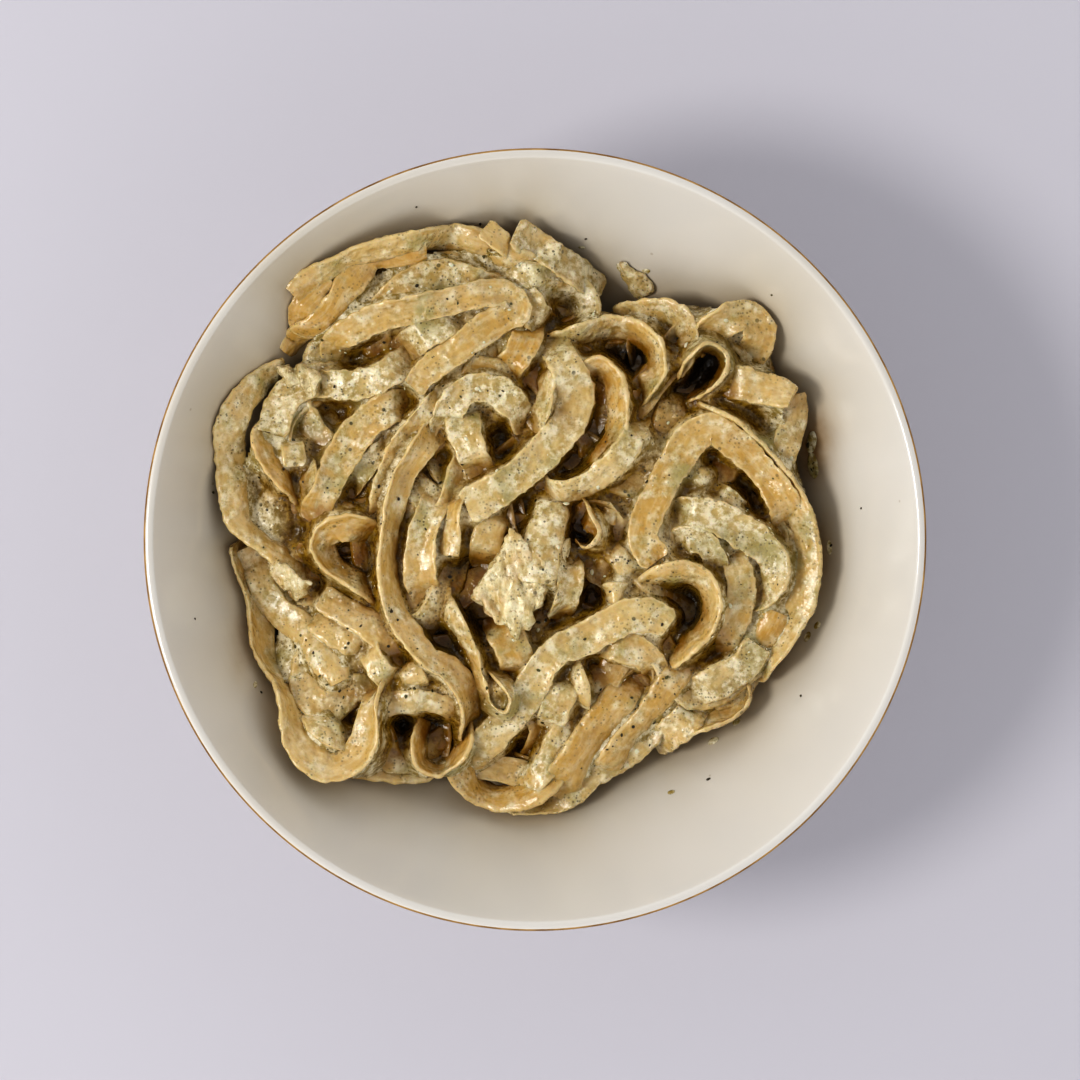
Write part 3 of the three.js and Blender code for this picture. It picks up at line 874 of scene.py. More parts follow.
class Pile:
    """Heights of the noodles laid so far, the same shrunk for the sauce, and what shows on top."""

    def __init__(self):
        self.top = np.maximum(WALL + GRID_OVER_WALL, CORE)
        self.shrunk = self.top.copy()
        self.sauce = np.full_like(self.top, BARE_SAUCE)

    def lay(self, strand, ceiling=None):
        """Rests a strand on nearly the highest place under it, bridging hollows, and adds it."""
        half = NOODLE_THICKNESS / 2 * strand.scale
        across, x, y = ribbon(vars(strand), strand.width, PLACES_ACROSS)
        ground = self.top[cells(x, y)]
        if strand.visible:
            ground = np.maximum(ground, BED[cells(x, y)])
        self.settle_lean(strand, ground)
        rise = across * np.sin(strand.lean)[:, None]
        rest = np.sort(ground - rise, axis=1)[:, RESTS_ON] + half * np.cos(strand.lean)
        edge = strand.width / 2 * np.abs(np.sin(strand.lean)) + half
        rest = np.minimum(rest, HEAP_CEILING - edge)
        if ceiling is not None:
            rest = np.minimum(rest, ceiling[cells(strand.x, strand.y)])
        z = rest
        for _ in range(strand.stiffness):
            z = np.maximum(rest, eased(z))
        z = np.minimum(eased(z, 3) - strand.dive(), HEAP_CEILING - edge * CEILING_SHARE)
        wall = inner_height(np.hypot(x, y)) + STRAND_OVER_WALL
        z = np.maximum(z, (wall - rise).max(axis=1) + half * np.cos(strand.lean))
        strand.z = z
        self.deposit(strand)

    def settle_lean(self, strand, ground):
        """A flat strand turns towards the slope of what it lies on."""
        slope = np.arctan2(ground[:, -2] - ground[:, 1], 0.8 * strand.width)
        slope = eased(np.clip(slope, -MOST_SLOPE, MOST_SLOPE), SLOPE_EASING)
        flatness = np.clip(1 - np.abs(strand.lean) / math.radians(FLAT_UNDER), 0, 1)
        strand.lean = strand.lean + TURN_SHARE * slope * flatness

    def deposit(self, strand):
        """Raises the cells under a strand to its top, and notes its sauce where it shows."""
        fine = strand.finer(FINE_STEP)
        half = NOODLE_THICKNESS / 2
        for inset, sink, target in ((0.0, 0.0, self.top), (SAUCE_INSET, SAUCE_SINK, self.shrunk)):
            across, x, y = ribbon(fine, fine["width"] - 2 * inset, FINE_PLACES_ACROSS)
            z = fine["z"][:, None] + across * np.sin(fine["lean"])[:, None]
            z = z + (half * np.cos(fine["lean"]))[:, None] - sink
            rows, columns = cells(x, y)
            before = target[rows, columns]
            np.maximum.at(target, (rows, columns), z)
            if target is self.top:
                shown = z >= before
                self.sauce[rows[shown], columns[shown]] = strand.sauce


def bowed(field, radius, reach, sign):
    """Field grown (sign 1) or shrunk (sign -1) by a bowl of a radius, along both grid axes."""
    for direction in (0, 1):
        grown_field = sign * field
        for step in range(1, reach + 1):
            drop = (step * CELL) ** 2 / (2 * radius)
            for shift in (step, -step):
                moved = np.roll(sign * field, shift, axis=direction) - drop
                grown_field = np.maximum(grown_field, moved)
        field = sign * grown_field
    return field


def filled(field, radius, reach):
    """Field with its creases filled to a radius."""
    return bowed(bowed(field, radius, reach, 1), radius, reach, -1)


# ---------------------------------------------------------------------------------------------
# Strands
# ---------------------------------------------------------------------------------------------


def smooth_route(points, step):
    """Points an even step apart on a smooth curve through the given ones."""
    p = np.asarray(points, dtype=float)
    chord = np.hypot(*np.diff(p, axis=0).T)
    t = np.concatenate([[0], np.cumsum(chord)])
    slope = np.empty_like(p)
    secant = np.diff(p, axis=0) / chord[:, None]
    slope[0], slope[-1] = secant[0], secant[-1]
    weight = (chord[:-1] / (chord[:-1] + chord[1:]))[:, None]
    slope[1:-1] = secant[:-1] * (1 - weight) + secant[1:] * weight
    dense = np.linspace(0, t[-1], max(40, int(t[-1] / 0.3)))
    k = np.clip(np.searchsorted(t, dense, side="right") - 1, 0, len(chord) - 1)
    u = ((dense - t[k]) / chord[k])[:, None]
    h = chord[k][:, None]
    curve = ((1 + 2 * u) * (1 - u) ** 2 * p[k] + u * (1 - u) ** 2 * h * slope[k]
             + u ** 2 * (3 - 2 * u) * p[k + 1] + u ** 2 * (u - 1) * h * slope[k + 1])
    run = np.concatenate([[0], np.cumsum(np.hypot(*np.diff(curve, axis=0).T))])
    count = max(4, int(round(run[-1] / step)) + 1)
    even = np.linspace(0, run[-1], count)
    return np.column_stack([np.interp(even, run, curve[:, 0]), np.interp(even, run, curve[:, 1])])


# Waves along a strand, height and length: of its lean in degrees, its width and its cupping.
SLOW_TWIST, QUICK_TWIST = (7, 9), (4, 4.1)
SLOW_SWELL, QUICK_SWELL = (0.07, 7), (0.04, 2.9)
CUP_SWAY = (0.7, 11)
CUP_RANGE = (-0.7, 1.3)
TINT_RANGE = (-0.12, 0.12)
LEAN_EASING = 6
DIVE_SHARE = 0.35


def wave(run, height_and_length, shift):
    """A wave along a strand."""
    height, length = height_and_length
    return height * np.sin(run / length + shift)


class Strand:
    """One noodle: its line, and along it the lean, width and direction to its left."""

    def __init__(self, width, leans, sauce, gold, free, route, step, rng, visible=True):
        path = smooth_route(route, step)
        self.x, self.y = path[:, 0], path[:, 1]
        part = np.linspace(0, 1, len(path))
        leans = np.atleast_1d(leans).astype(float)
        lean = eased(np.interp(part, np.linspace(0, 1, len(leans)), leans), LEAN_EASING)
        shift = rng.uniform(0, 2 * math.pi, 3)
        run = part * len(path) * step
        lean += wave(run, SLOW_TWIST, shift[0]) + wave(run, QUICK_TWIST, shift[1])
        self.lean = np.radians(lean)
        self.width = width * (1 + wave(run, SLOW_SWELL, shift[2]) + wave(run, QUICK_SWELL, shift[0]))
        self.scale = width / NOODLE_WIDTH
        self.cup = rng.uniform(*CUP_RANGE) + wave(run, CUP_SWAY, shift[0])
        self.sauce, self.gold, self.free, self.visible = sauce, gold, free, visible
        self.run = run
        self.tint = rng.uniform(*TINT_RANGE)
        self.step = step
        self.stiffness = int(STIFF_OVER / step)
        along = np.gradient(path, axis=0)
        along /= np.hypot(along[:, 0], along[:, 1])[:, None]
        self.left_x, self.left_y = -along[:, 1], along[:, 0]
        self.z = np.zeros(len(path))

    def dive(self):
        """How far the strand sinks into the heap towards each end that doesn't lie free."""
        reach = min(DIVE_REACH, DIVE_SHARE * self.run[-1])
        depth = np.zeros(len(self.run))
        for end, away in (("start", self.run), ("end", self.run[-1] - self.run)):
            part = np.clip(away / reach, 0, 1)
            fade = 1 - part * part * (3 - 2 * part)
            if end not in self.free:
                depth += DIVE_DEPTH * fade
            if end + " lifted" in self.free:
                depth -= END_LIFT * np.clip(1 - away / LIFT_REACH, 0, 1)
        return depth

    def finer(self, step):
        """The strand's values at a finer step, for laying it into the grid."""
        old = np.arange(len(self.x))
        new = np.linspace(0, len(self.x) - 1, max(2, int(len(self.x) * self.step / step)))
        return {name: np.interp(new, old, getattr(self, name))
                for name in ("x", "y", "z", "lean", "width", "left_x", "left_y")}


# Visible noodles from the lowest to the highest: width, lean off flat in degrees at even places
# along it (positive lifts the left edge), sauce on it, how golden it is, which end lies free on top
# (or lifted off it) instead of diving into the heap, and the points it passes.
NOODLES = [
    (6, 0, 0.5, 0.4, "", [(-10, -67), (-3, -68.3), (4, -67.8), (10.5, -64.5), (16, -60.5), (22, -57),
        (27.5, -52.5), (32, -47)]),
    (8.5, (-58, -60, -55, -35, -45, -60), 0.3, 0.6, "", [(-77, -1), (-75, -8), (-72.5, -15), (-71.5, -21),
        (-71, -27), (-68, -33), (-64.5, -38), (-62.5, -44), (-61, -50), (-57.5, -55), (-52, -58),
        (-46.5, -56.5), (-43, -52), (-41.5, -46), (-40.5, -40), (-38.5, -35)]),
    (7, -25, 0.5, 0.6, "", [(-57.5, -43.5), (-54.5, -47), (-50.5, -50), (-46, -51.5)]),
    (8, 0, 0.5, 0.4, "end", [(-74, -2), (-71, -9), (-68.5, -15), (-64.5, -19.5), (-60, -22.5), (-57, -25),
        (-54.5, -29), (-51.5, -33), (-50, -36.5)]),
    (7, (0, 10, 30), 0.1, 0.7, "", [(-52, 66), (-56, 62), (-59.5, 57.5), (-59, 54.5), (-56, 55.5),
        (-53, 57)]),
    (8.5, (65, 55, 40, 30), 0.35, 0.5, "", [(41, 34), (46, 31.5), (52, 28), (58, 23), (62.5, 17),
        (66, 10.5), (68.3, 4), (69.5, -3), (69, -10), (67.5, -17), (64.5, -24), (60, -30), (56, -35)]),
    (8, (0, 15), 0.5, 0.4, "start lifted", [(65.5, 37), (66, 32), (65, 27), (63.5, 22.5), (62.8, 19.5)]),
    (7, 60, 0.4, 0.4, "", [(54.5, -36), (54.5, -41), (51, -45), (46, -47), (41, -48.5), (36, -51)]),
    (8, 10, 0.7, 0.4, "", [(42, -42), (39, -46), (35, -49.5), (30.5, -52.5)]),
    (8, 0, 0.1, 0.9, "", [(-2, 56), (-2.5, 51), (-5, 46), (-9, 42)]),
    (8, 0, 0.8, 0.3, "", [(-7, 66), (-3, 62), (0, 57.5), (3.5, 53)]),
    (8, (5, 15, 45, 55, 40), 0.8, 0.3, "", [(-12, 70.5), (-5, 68.3), (1, 66.5), (7, 65.3), (11.5, 62.8),
        (13.3, 58.5), (12, 54.8), (8, 53.2), (3.5, 52.5)]),
    (8, (45, 40), 0.6, 0.4, "", [(21, 57), (26.5, 58.3), (32, 58.5), (37, 56.5), (39, 52), (38, 47),
        (35.5, 42)]),
    (8, (60, 50, 40), 0.5, 0.5, "", [(3, 50), (9, 51.5), (15, 53), (21, 54.3), (26.5, 52.5), (30.5, 48.5),
        (31.5, 43), (28.5, 38.5), (25, 34)]),
    (7.5, (20, -10, -35, -40), 0.3, 0.8, "", [(38.5, -29), (36.5, -34), (32.5, -40), (28.5, -45.5),
        (24, -51), (19.5, -57), (14, -62)]),
    (6.5, 60, 0.5, 0.4, "", [(8.7, -31.5), (10.3, -36), (10.9, -43)]),
    (8, 0, 0.7, 0.4, "", [(8, -33.5), (6.5, -39), (4.5, -45), (3, -50)]),
    (7.5, 60, 0.3, 0.8, "", [(-18, -46), (-18, -52), (-21, -57), (-25, -59.5), (-29, -57.5), (-30, -52),
        (-28, -46)]),
    (9.5, (-45, -38, -45), 0.3, 0.9, "", [(-19.5, -56), (-17.5, -61.5), (-13, -65), (-7.5, -66),
        (-2, -64.8), (2.5, -61.5), (5, -57)]),
    (7, 0, 0.5, 0.5, "", [(11.5, -44), (7, -50.5), (3, -57), (-1, -62.5), (-6, -66)]),
    (9.8, 0, 0.2, 0.7, "", [(25.5, -34), (21.5, -40.5), (17, -46.5), (12.5, -53), (8.5, -59.5), (5, -66)]),
    (6, 10, 0.5, 0.4, "", [(-39, -42), (-34, -41.5), (-28, -41), (-22.5, -42.5), (-19.5, -45.5),
        (-18, -50)]),
    (8.5, (-55, -25, -20, -50, -55), 0.5, 0.5, "", [(-64, 44), (-70, 40), (-75, 34), (-77.5, 27),
        (-77, 19), (-76.5, 11), (-74.5, 4.5), (-69, 0), (-62, -5), (-56, -10.5)]),
    (7, -55, 0.3, 0.6, "", [(-66, 31), (-69.5, 27), (-68.5, 21.5), (-65.5, 17), (-62, 13), (-59.5, 10)]),
    (6, 0, 0.6, 0.4, "end", [(-62.5, 26), (-61.5, 22), (-61, 18.5)]),
    (6, 40, 0.6, 0.4, "", [(-58, 20), (-57, 13), (-58, 6)]),
    (8, 0, 0.9, 0.2, "", [(-60, 40.5), (-54, 39.8), (-48, 39.3), (-42, 40), (-36, 43), (-30, 46.5)]),
    (8, (0, 20), 0.7, 0.4, "", [(-41, 56), (-36, 62), (-30, 66), (-23, 67.5), (-15, 65), (-8, 62.5)]),
    (7.5, (-50, -15, -15, -50), 0.1, 0.9, "start", [(-27.5, 73.3), (-35, 73), (-42, 71.5), (-45.5, 67),
        (-49, 62), (-52, 57.5), (-56, 54), (-60.5, 51), (-63.5, 47.5)]),
    (8, (50, 45), 0.4, 0.5, "start", [(-61, 61.5), (-57, 65), (-52, 68), (-46, 71.5), (-37, 74),
        (-28, 76), (-20, 76.3), (-13, 74.7), (-7, 71.5), (0, 69)]),
    (8, 0, 0.8, 0.3, "", [(-34, 48), (-29, 51.5), (-23, 54.5), (-16, 57.5)]),
    (7.5, 35, 0.5, 0.4, "", [(-40, 4), (-44, 6), (-49.5, 7), (-54.5, 5), (-57, 0.5), (-57, -3)]),
    (6, 0, 0.9, 0.3, "", [(-33, 27), (-38, 23), (-43, 18), (-47, 13.5), (-50, 11.5)]),
    (8, 0, 0.5, 0.4, "", [(-59.5, -17), (-55, -20.5), (-50, -24), (-45, -27.5), (-42, -32)]),
    (5, 0, 0.2, 0.4, "start", [(-61, -2.5), (-57.5, -4.5), (-56.3, -8), (-56.5, -13)]),
    (8, (-25, -32, -50, -38, -30), 0.3, 0.7, "", [(-38.5, -0.8), (-43, 2.6), (-48, 3.8), (-52.6, 2.2),
        (-54.5, -1.8), (-52.5, -6), (-47, -9.8), (-41.5, -12.8), (-38, -15)]),
    (8, 0, 0.3, 0.6, "start", [(-54.5, -14.5), (-49, -17.8), (-43.5, -20.8), (-38.5, -24.5), (-35, -29),
        (-33.5, -34)]),
    (8.5, 0, 0.5, 0.6, "", [(-29.5, 34.5), (-35.5, 34), (-41, 31), (-45.5, 26), (-49, 20.5), (-53, 13),
        (-57, 4.5)]),
    (8.5, 0, 0.8, 0.2, "end", [(-50, 41.5), (-56, 41), (-61.5, 38), (-65.5, 32.5), (-67, 27)]),
    (6, -30, 0.6, 0.4, "", [(-20, 41), (-26, 35), (-31.5, 28.5), (-36, 21), (-38.5, 13.5), (-39.3, 7),
        (-39, 3)]),
    (8, 0, 0.5, 0.5, "", [(-23, 14), (-26, 8), (-28.5, 1), (-29, -6), (-28.5, -12), (-26.5, -16)]),
    (6, 40, 0.4, 0.5, "end", [(-19, 13), (-20.8, 7), (-21.5, 1), (-22, -4)]),
    (8, 0, 0.3, 0.4, "", [(-8, 9), (-11, 3.5), (-12.5, -2), (-13, -7)]),
    (9, 0, 0.7, 0.3, "", [(-19, 36), (-18, 28), (-15.5, 21), (-13.5, 16)]),
    (8, (15, 0, 10, -50), 0.9, 0.2, "", [(-24, 27), (-22, 33), (-17, 38), (-11, 38.5), (-7, 35.8),
        (-4, 32), (-3, 27)]),
    (7, 20, 0.4, 0.4, "", [(-42.5, -25.5), (-41, -30), (-38.5, -34), (-34, -36)]),
    (7, 20, 0.4, 0.4, "", [(-33, -30.5), (-31.5, -34), (-30, -38)]),
    (6, 40, 0.6, 0.4, "", [(3.2, 49), (3.4, 43), (3, 37), (1.3, 31), (-1.5, 25)]),
    (5.5, 0, 0.5, 0.3, "", [(17.5, -0.5), (20.5, -3.5), (23.5, -7), (26, -11)]),
    (3.4, 0, 0.4, 0.5, "", [(15, 7.5), (19, 6), (23, 4.5)]),
    (6, 10, 0.6, 0.3, "", [(17, -14.5), (20, -13.5), (24, -14)]),
    (8, -35, 0.7, 0.4, "", [(6, -4), (8, -9), (7.5, -14), (5, -20)]),
    (7, 65, 0.5, 0.5, "", [(12.5, 10), (14.5, 5.5), (16.3, 1.8), (14.5, -1.3), (11, -1)]),
    (8, 45, 0.4, 0.6, "", [(11.5, 36), (12.5, 41), (15.5, 44), (19.5, 42), (21.5, 36), (21, 29), (18.8, 23),
        (14.5, 18), (9.5, 15.5)]),
    (7, (20, 10, -5, -45, -50), 0.5, 0.4, "", [(26.5, 33.5), (26, 28.5), (22.5, 22), (17.5, 17),
        (12.5, 13.5), (8, 12), (4, 12.8), (0, 15.5)]),
    (9, 0, 0.3, 0.8, "", [(-10, -19), (-7, -25), (-4.5, -31), (-5, -36.5)]),
    (7.5, (-20, -40, -50, -45, -40, -45, -50), 0.3, 0.6, "", [(-24, 30), (-29, 24), (-33.5, 17), (-36, 9),
        (-37.5, 1), (-37.5, -7), (-36.8, -13.5), (-34.8, -19.5), (-31.3, -25), (-27, -30.2),
        (-21.6, -33.8), (-18.2, -38.8), (-17.4, -45), (-18.5, -51)]),
    (5, 0, 0.9, 0.2, "", [(45, 19.5), (43, 16), (40, 12)]),
    (4.5, 0, 0.8, 0.3, "", [(45.5, 13), (48.5, 11.5), (51.5, 9), (53.5, 6)]),
    (7, 0, 0.9, 0.2, "", [(34, -3), (38, 0), (43, -0.5), (46, -5), (46.5, -11)]),
    (8.5, (0, 0, 30, 60), 0.8, 0.3, "", [(33, 7), (40, 7.3), (46, 5.8), (52, 2.5), (57.5, -1), (61, -5),
        (61, -10), (58.5, -14.5), (55, -17)]),
    (8, 0, 0.4, 0.5, "", [(49, -1), (51.5, -7), (52.5, -13), (51.5, -19), (48.5, -25), (45.5, -31)]),
    (7, 70, 0.5, 0.5, "", [(36.5, 41), (39.5, 46.5), (43.5, 49.5), (47.5, 48), (49, 44.5), (47, 40.5),
        (43, 37.5), (39, 36)]),
    (9, (50, 0, 0), 0.4, 0.5, "", [(41, 52.5), (45.5, 54.5), (50.5, 56.5), (55, 56), (57, 52.5),
        (55.5, 48.5), (52.5, 45.5)]),
    (8.5, 0, 0.5, 0.4, "end lifted", [(48, 40.5), (54, 39.3), (59.5, 38), (65.3, 36.3)]),
    (8, 0, 0.2, 0.8, "start", [(62, -18.5), (59.5, -24), (56, -29), (52.5, -34)]),
    (8.5, 0, 0.9, 0.3, "start", [(57, -27), (53.5, -32), (48.5, -35.5), (43, -38), (38, -40)]),
    (8, 48, 0.4, 0.6, "", [(28, -13.5), (31.3, -10.5), (36, -8.8), (41, -9.2), (44.6, -13), (45.2, -18.3),
        (42.5, -24), (38, -27.8), (34, -30.3)]),
    (8, 0, 0.5, 0.4, "", [(14, -26), (20, -26.5), (26, -28.5), (30.5, -32.5), (31.5, -36)]),
    (8.5, 0, 0.4, 0.6, "start", [(31, -5.5), (27.5, 0), (28.5, 6), (32, 13), (36, 20), (40.5, 26.5),
        (44.5, 28.8), (49.6, 26), (55.5, 20.8), (60.7, 14.8), (64, 8), (65.5, 2)]),
    (9.2, 0, 0.6, 0.3, "start", [(-17.5, 8), (-11, 11.5), (-5, 16), (0.5, 20.5), (5, 25.5), (9, 31),
        (10, 37), (8.3, 43.5), (5.5, 48.5), (3, 53)]),
    (9.5, 5, 0.8, 0.3, "start, end lifted", [(4.5, 9.5), (3.5, 4.5), (2, 0), (1, -5), (0.3, -11)]),
    (8.5, 0, 0.5, 0.4, "start", [(34, -22), (30, -19.5), (24.5, -19.5), (18.5, -22), (12, -25.5),
        (6, -28), (2, -32), (-1, -37.5), (-4.5, -43), (-9, -48), (-13.5, -53), (-18, -58)]),
    (6, (60, 52, 60), 0.6, 0.4, "", [(-24, -13), (-21.5, -19), (-18, -25), (-15.3, -31), (-13.8, -37),
        (-11, -43), (-7.3, -44), (-6, -40.5), (-9, -35.5), (-13, -31)]),
    (6, 0, 0.1, 0.5, "start", [(-13, 79), (-9.5, 76.3), (-5.5, 73)]),
    (8.5, 0, 0.8, 0.3, "start", [(-5, 78), (0, 75), (6, 71), (12, 67.5), (17, 63.5)]),
    (7.5, (15, 20, 0, 0, 0), 0.4, 0.5, "end", [(-52, 46), (-51, 50), (-45, 54), (-38, 57.2), (-30, 59),
        (-22, 60.5), (-14, 62.5), (-7, 62), (-4.5, 58.5), (-9, 56), (-18, 49.5), (-25, 44.5), (-31, 38.5)]),
]

# Noodles that lie lower, in the shade of those above.
LOW_NOODLES = [
    (7.5, -10, 0.7, 0.5, "", [(46, 33), (51, 31), (56.5, 29), (61, 26.5)]),
    (5, 45, 0.4, 0.8, "", [(11, 48.5), (15, 47.3), (20, 48.5), (25, 50.5)]),
    (7, 0, 0.8, 0.4, "", [(13, -3), (15, -7), (18, -9), (23, -10)]),
    (8, 0, 0.7, 0.5, "", [(-44, -52), (-37, -54.5), (-30, -55.5)]),
    (8, 0, 0.9, 0.3, "", [(13, -34), (17, -33), (22, -36)]),
    (7, 0, 0.9, 0.2, "", [(27, 35), (33, 34.5), (39, 33.5), (43, 31)]),
    (7, 10, 0.8, 0.3, "", [(-47.5, 36), (-50.5, 31), (-53.5, 25.5), (-55, 20)]),
]


PILE_SEED = 20
# Hidden loops: radius, how far they keep inside the heap's edge, turn in radians, and their noodles.
LOOP_RADIUS = (9, 26)
LOOP_MIDDLE_INSIDE = 10
LOOP_INSIDE = 4
LOOP_SWEEP = (2.0, 4.6)
LOOP_POINTS = 7
LOOP_SIZES = (0.75, 1.25)
HIDDEN_WIDTH = (7, 9)
HIDDEN_LEAN = (-24, 24)
HIDDEN_SAUCE = (0.3, 0.8)
HIDDEN_GOLD = (0.2, 0.8)


def hidden_route(rng):
    """A loose loop in the depth of the heap."""
    radius = rng.uniform(*LOOP_RADIUS)
    toward = rng.uniform(-180, 180)
    reach = math.sqrt(rng.uniform(0, 1)) * (float(heap_edge(toward)) - LOOP_MIDDLE_INSIDE)
    middle = reach * np.array([math.cos(math.radians(toward)), math.sin(math.radians(toward))])
    start, sweep = rng.uniform(0, 2 * math.pi), rng.uniform(*LOOP_SWEEP) * rng.choice([-1, 1])
    turns = np.linspace(start, start + sweep, LOOP_POINTS)
    size = radius * rng.uniform(*LOOP_SIZES, LOOP_POINTS)
    points = middle + np.column_stack([size * np.cos(turns), size * np.sin(turns)])
    limit = heap_edge(np.degrees(np.arctan2(points[:, 1], points[:, 0]))) - LOOP_INSIDE
    far = np.hypot(points[:, 0], points[:, 1])
    return points * np.minimum(1, limit / far)[:, None]


def lay_everything():
    """Lays the hidden noodles at random, then the low and the visible ones as they are listed."""
    rng = np.random.default_rng(PILE_SEED)
    pile, hidden, shown = Pile(), [], []
    for _ in range(HIDDEN_NOODLES):
        looks = [rng.uniform(*bounds) for bounds in (HIDDEN_WIDTH, HIDDEN_LEAN, HIDDEN_SAUCE, HIDDEN_GOLD)]
        strand = Strand(*looks, "", hidden_route(rng), HIDDEN_STEP, rng, visible=False)
        pile.lay(strand, PACKED - rng.uniform(*HIDDEN_DROP))
        hidden.append(strand)
    for listed, visible, ceiling in ((LOW_NOODLES, False, BED - LOW_DROP), (NOODLES, True, None)):
        for noodle in listed:
            strand = Strand(*noodle, VISIBLE_STEP, rng, visible)
            pile.lay(strand, ceiling)
            shown.append(strand)
    return pile, hidden, shown


END_TAPER = 0.22
TAPER_REACH = 1.6
NUMBERS_APART = 60
LEAST_SHADE = 0.3
DEEPEST = 30


def rounded_ends(strand):
    """Width of a strand with its cut ends drawn in a little."""
    from_end = np.minimum(np.arange(len(strand.x)), np.arange(len(strand.x))[::-1]) * strand.step
    return strand.width * (1 - END_TAPER * np.clip(1 - from_end / TAPER_REACH, 0, 1) ** 2)


def strand_lines(name, strands):
    """Lines for the sweep, with what each point needs for its shape and its looks."""
    def along(values_of):
        return np.concatenate([values_of(strand) for strand in strands])

    edges, first = [], 0
    for strand in strands:
        edges += [(k, k + 1) for k in range(first, first + len(strand.x) - 1)]
        first += len(strand.x)
    mesh = mesh_of(name + "_lines", along(lambda s: np.column_stack([s.x, s.y, s.z])), [], edges)
    lean = along(lambda s: s.lean)
    left = along(lambda s: np.column_stack([s.left_x, s.left_y]))
    rise, reach = np.sin(lean), np.cos(lean)
    starts = np.repeat(NUMBERS_APART * np.arange(len(strands)), [len(s.x) for s in strands])
    give_values(mesh, "lean", lean)
    give_values(mesh, "scale", along(rounded_ends) / NOODLE_WIDTH)
    give_values(mesh, "cup", along(lambda s: s.cup) * MM)
    give_values(mesh, "run", (along(lambda s: s.run) + starts) * MM)
    give_vectors(mesh, "out", np.column_stack([-rise * left[:, 0], -rise * left[:, 1], reach]))
    give_vectors(mesh, "side", np.column_stack([reach * left[:, 0], reach * left[:, 1], rise]))
    give_values(mesh, "sauce", along(lambda s: np.full(len(s.x), s.sauce)))
    give_values(mesh, "gold", along(lambda s: np.full(len(s.x), s.gold + s.tint)))
    return mesh


def give_depth(mesh, roof):
    """Stores how far each point lies below the roof of the pile, less so near the heap's edge; this depth
    sets the painted shade.
    """
    x, y, z = points_of(mesh).T
    edge = heap_edge(np.degrees(np.arctan2(y, x)))
    shade = np.clip((edge - np.hypot(x, y)) / OPEN_RIM, LEAST_SHADE, 1)
    give_values(mesh, "deep", np.clip(roof[cells(x, y)] - z, 0, DEEPEST) * shade)


# ---------------------------------------------------------------------------------------------
# Sauce
# ---------------------------------------------------------------------------------------------

# Pools of sauce: place, half widths, how full.
POOLS = [(-63, -29, 5, 9, 1.0), (-66, 6, 7, 9, 1.0), (-32, 72, 6, 3, .9), (29, 22, 4, 8, 1.0),
         (-28, 13, 3, 4, .7), (46, 42, 6, 5, .3), (-52, -40, 7, 4, 1.0), (-56, 24, 5, 6, .6),
         (36, 2, 6, 5, .9), (8, -6, 4, 6, .8), (-45, -30, 5, 4, .6), (22, -12, 5, 4, .8),
         (60, 30, 5, 5, .5), (-12, 30, 6, 6, .6)]
POOL = highest(GRID_X, GRID_Y, POOLS)


def sauce_surface(pile, roof):
    """Height of the sauce over the whole heap: fillets in the creases, fuller in the pools."""
    thin = filled(pile.shrunk, *THIN_FILLET)
    thick = filled(pile.shrunk, *THICK_FILLET)
    fullness = np.maximum(np.clip(pile.sauce - SAUCE_FROM, 0, 1) * SAUCE_FILL, POOL)
    level = thin + (thick - thin) * np.clip(fullness, 0, 1)
    level = np.where(POOL > POOL_FROM, np.maximum(level, roof - POOL_DROP - POOL_BANK * (1 - POOL)), level)
    for direction in (0, 1, 0, 1):
        level = (np.roll(level, 1, axis=direction) + 2 * level + np.roll(level, -1, axis=direction)) / 4
    ripple = [noise.noise((x * RIPPLE_STRETCH, y * RIPPLE_STRETCH, 3.0))
              for x, y in zip(GRID_X.flat, GRID_Y.flat)]
    return level - SAUCE_LOWERED + RIPPLE_HEIGHT * np.reshape(ripple, GRID_X.shape)


def make_sauce(pile, roof, material):
    """One closed body: the sauce on top, down to the bowl's floor, so the heap has a middle."""
    level = sauce_surface(pile, roof)
    inside = (pile.top > WALL + HEAP_OVER_WALL) & (packed_height(GRID_X, GRID_Y) > 0)
    inside |= packed_height(GRID_X * EDGE_STRETCH, GRID_Y * EDGE_STRETCH) > 0
    inside |= POOL > POOL_FROM
    inside[:1], inside[-1:], inside[:, :1], inside[:, -1:] = False, False, False, False
    floor = WALL + SAUCE_FLOOR
    level = np.maximum(level, floor + LEAST_SAUCE)
    quads = inside[:-1, :-1] & inside[1:, :-1] & inside[:-1, 1:] & inside[1:, 1:]
    used = np.zeros_like(inside)
    for dr, dc in ((0, 0), (0, 1), (1, 0), (1, 1)):
        used[dr:SIDE - 1 + dr, dc:SIDE - 1 + dc] |= quads
    count = int(used.sum())
    index = np.full(used.shape, -1)
    index[used] = np.arange(count)
    top = np.column_stack([GRID_X[used], GRID_Y[used], level[used]])
    base = np.column_stack([GRID_X[used], GRID_Y[used], floor[used]])
    rows, columns = np.nonzero(quads)
    a, b = index[rows, columns], index[rows, columns + 1]
    c, d = index[rows + 1, columns + 1], index[rows + 1, columns]
    upper = np.column_stack([a, b, c, d])
    lower = np.column_stack([d, c, b, a]) + count
    edges = np.concatenate([upper[:, [k, (k + 1) % 4]] for k in range(4)])
    keys = set(map(tuple, edges.tolist()))
    sides = [(p, p + count, q + count, q) for p, q in keys if (q, p) not in keys]
    faces = upper.tolist() + lower.tolist() + sides
    mesh = mesh_of("pesto_cream", np.vstack([top, base]), faces)
    give_depth(mesh, roof)
    placed("pesto_cream", mesh, material, replaces=["tagliatelle"])
    return level


# ---------------------------------------------------------------------------------------------
# Chicken
# ---------------------------------------------------------------------------------------------

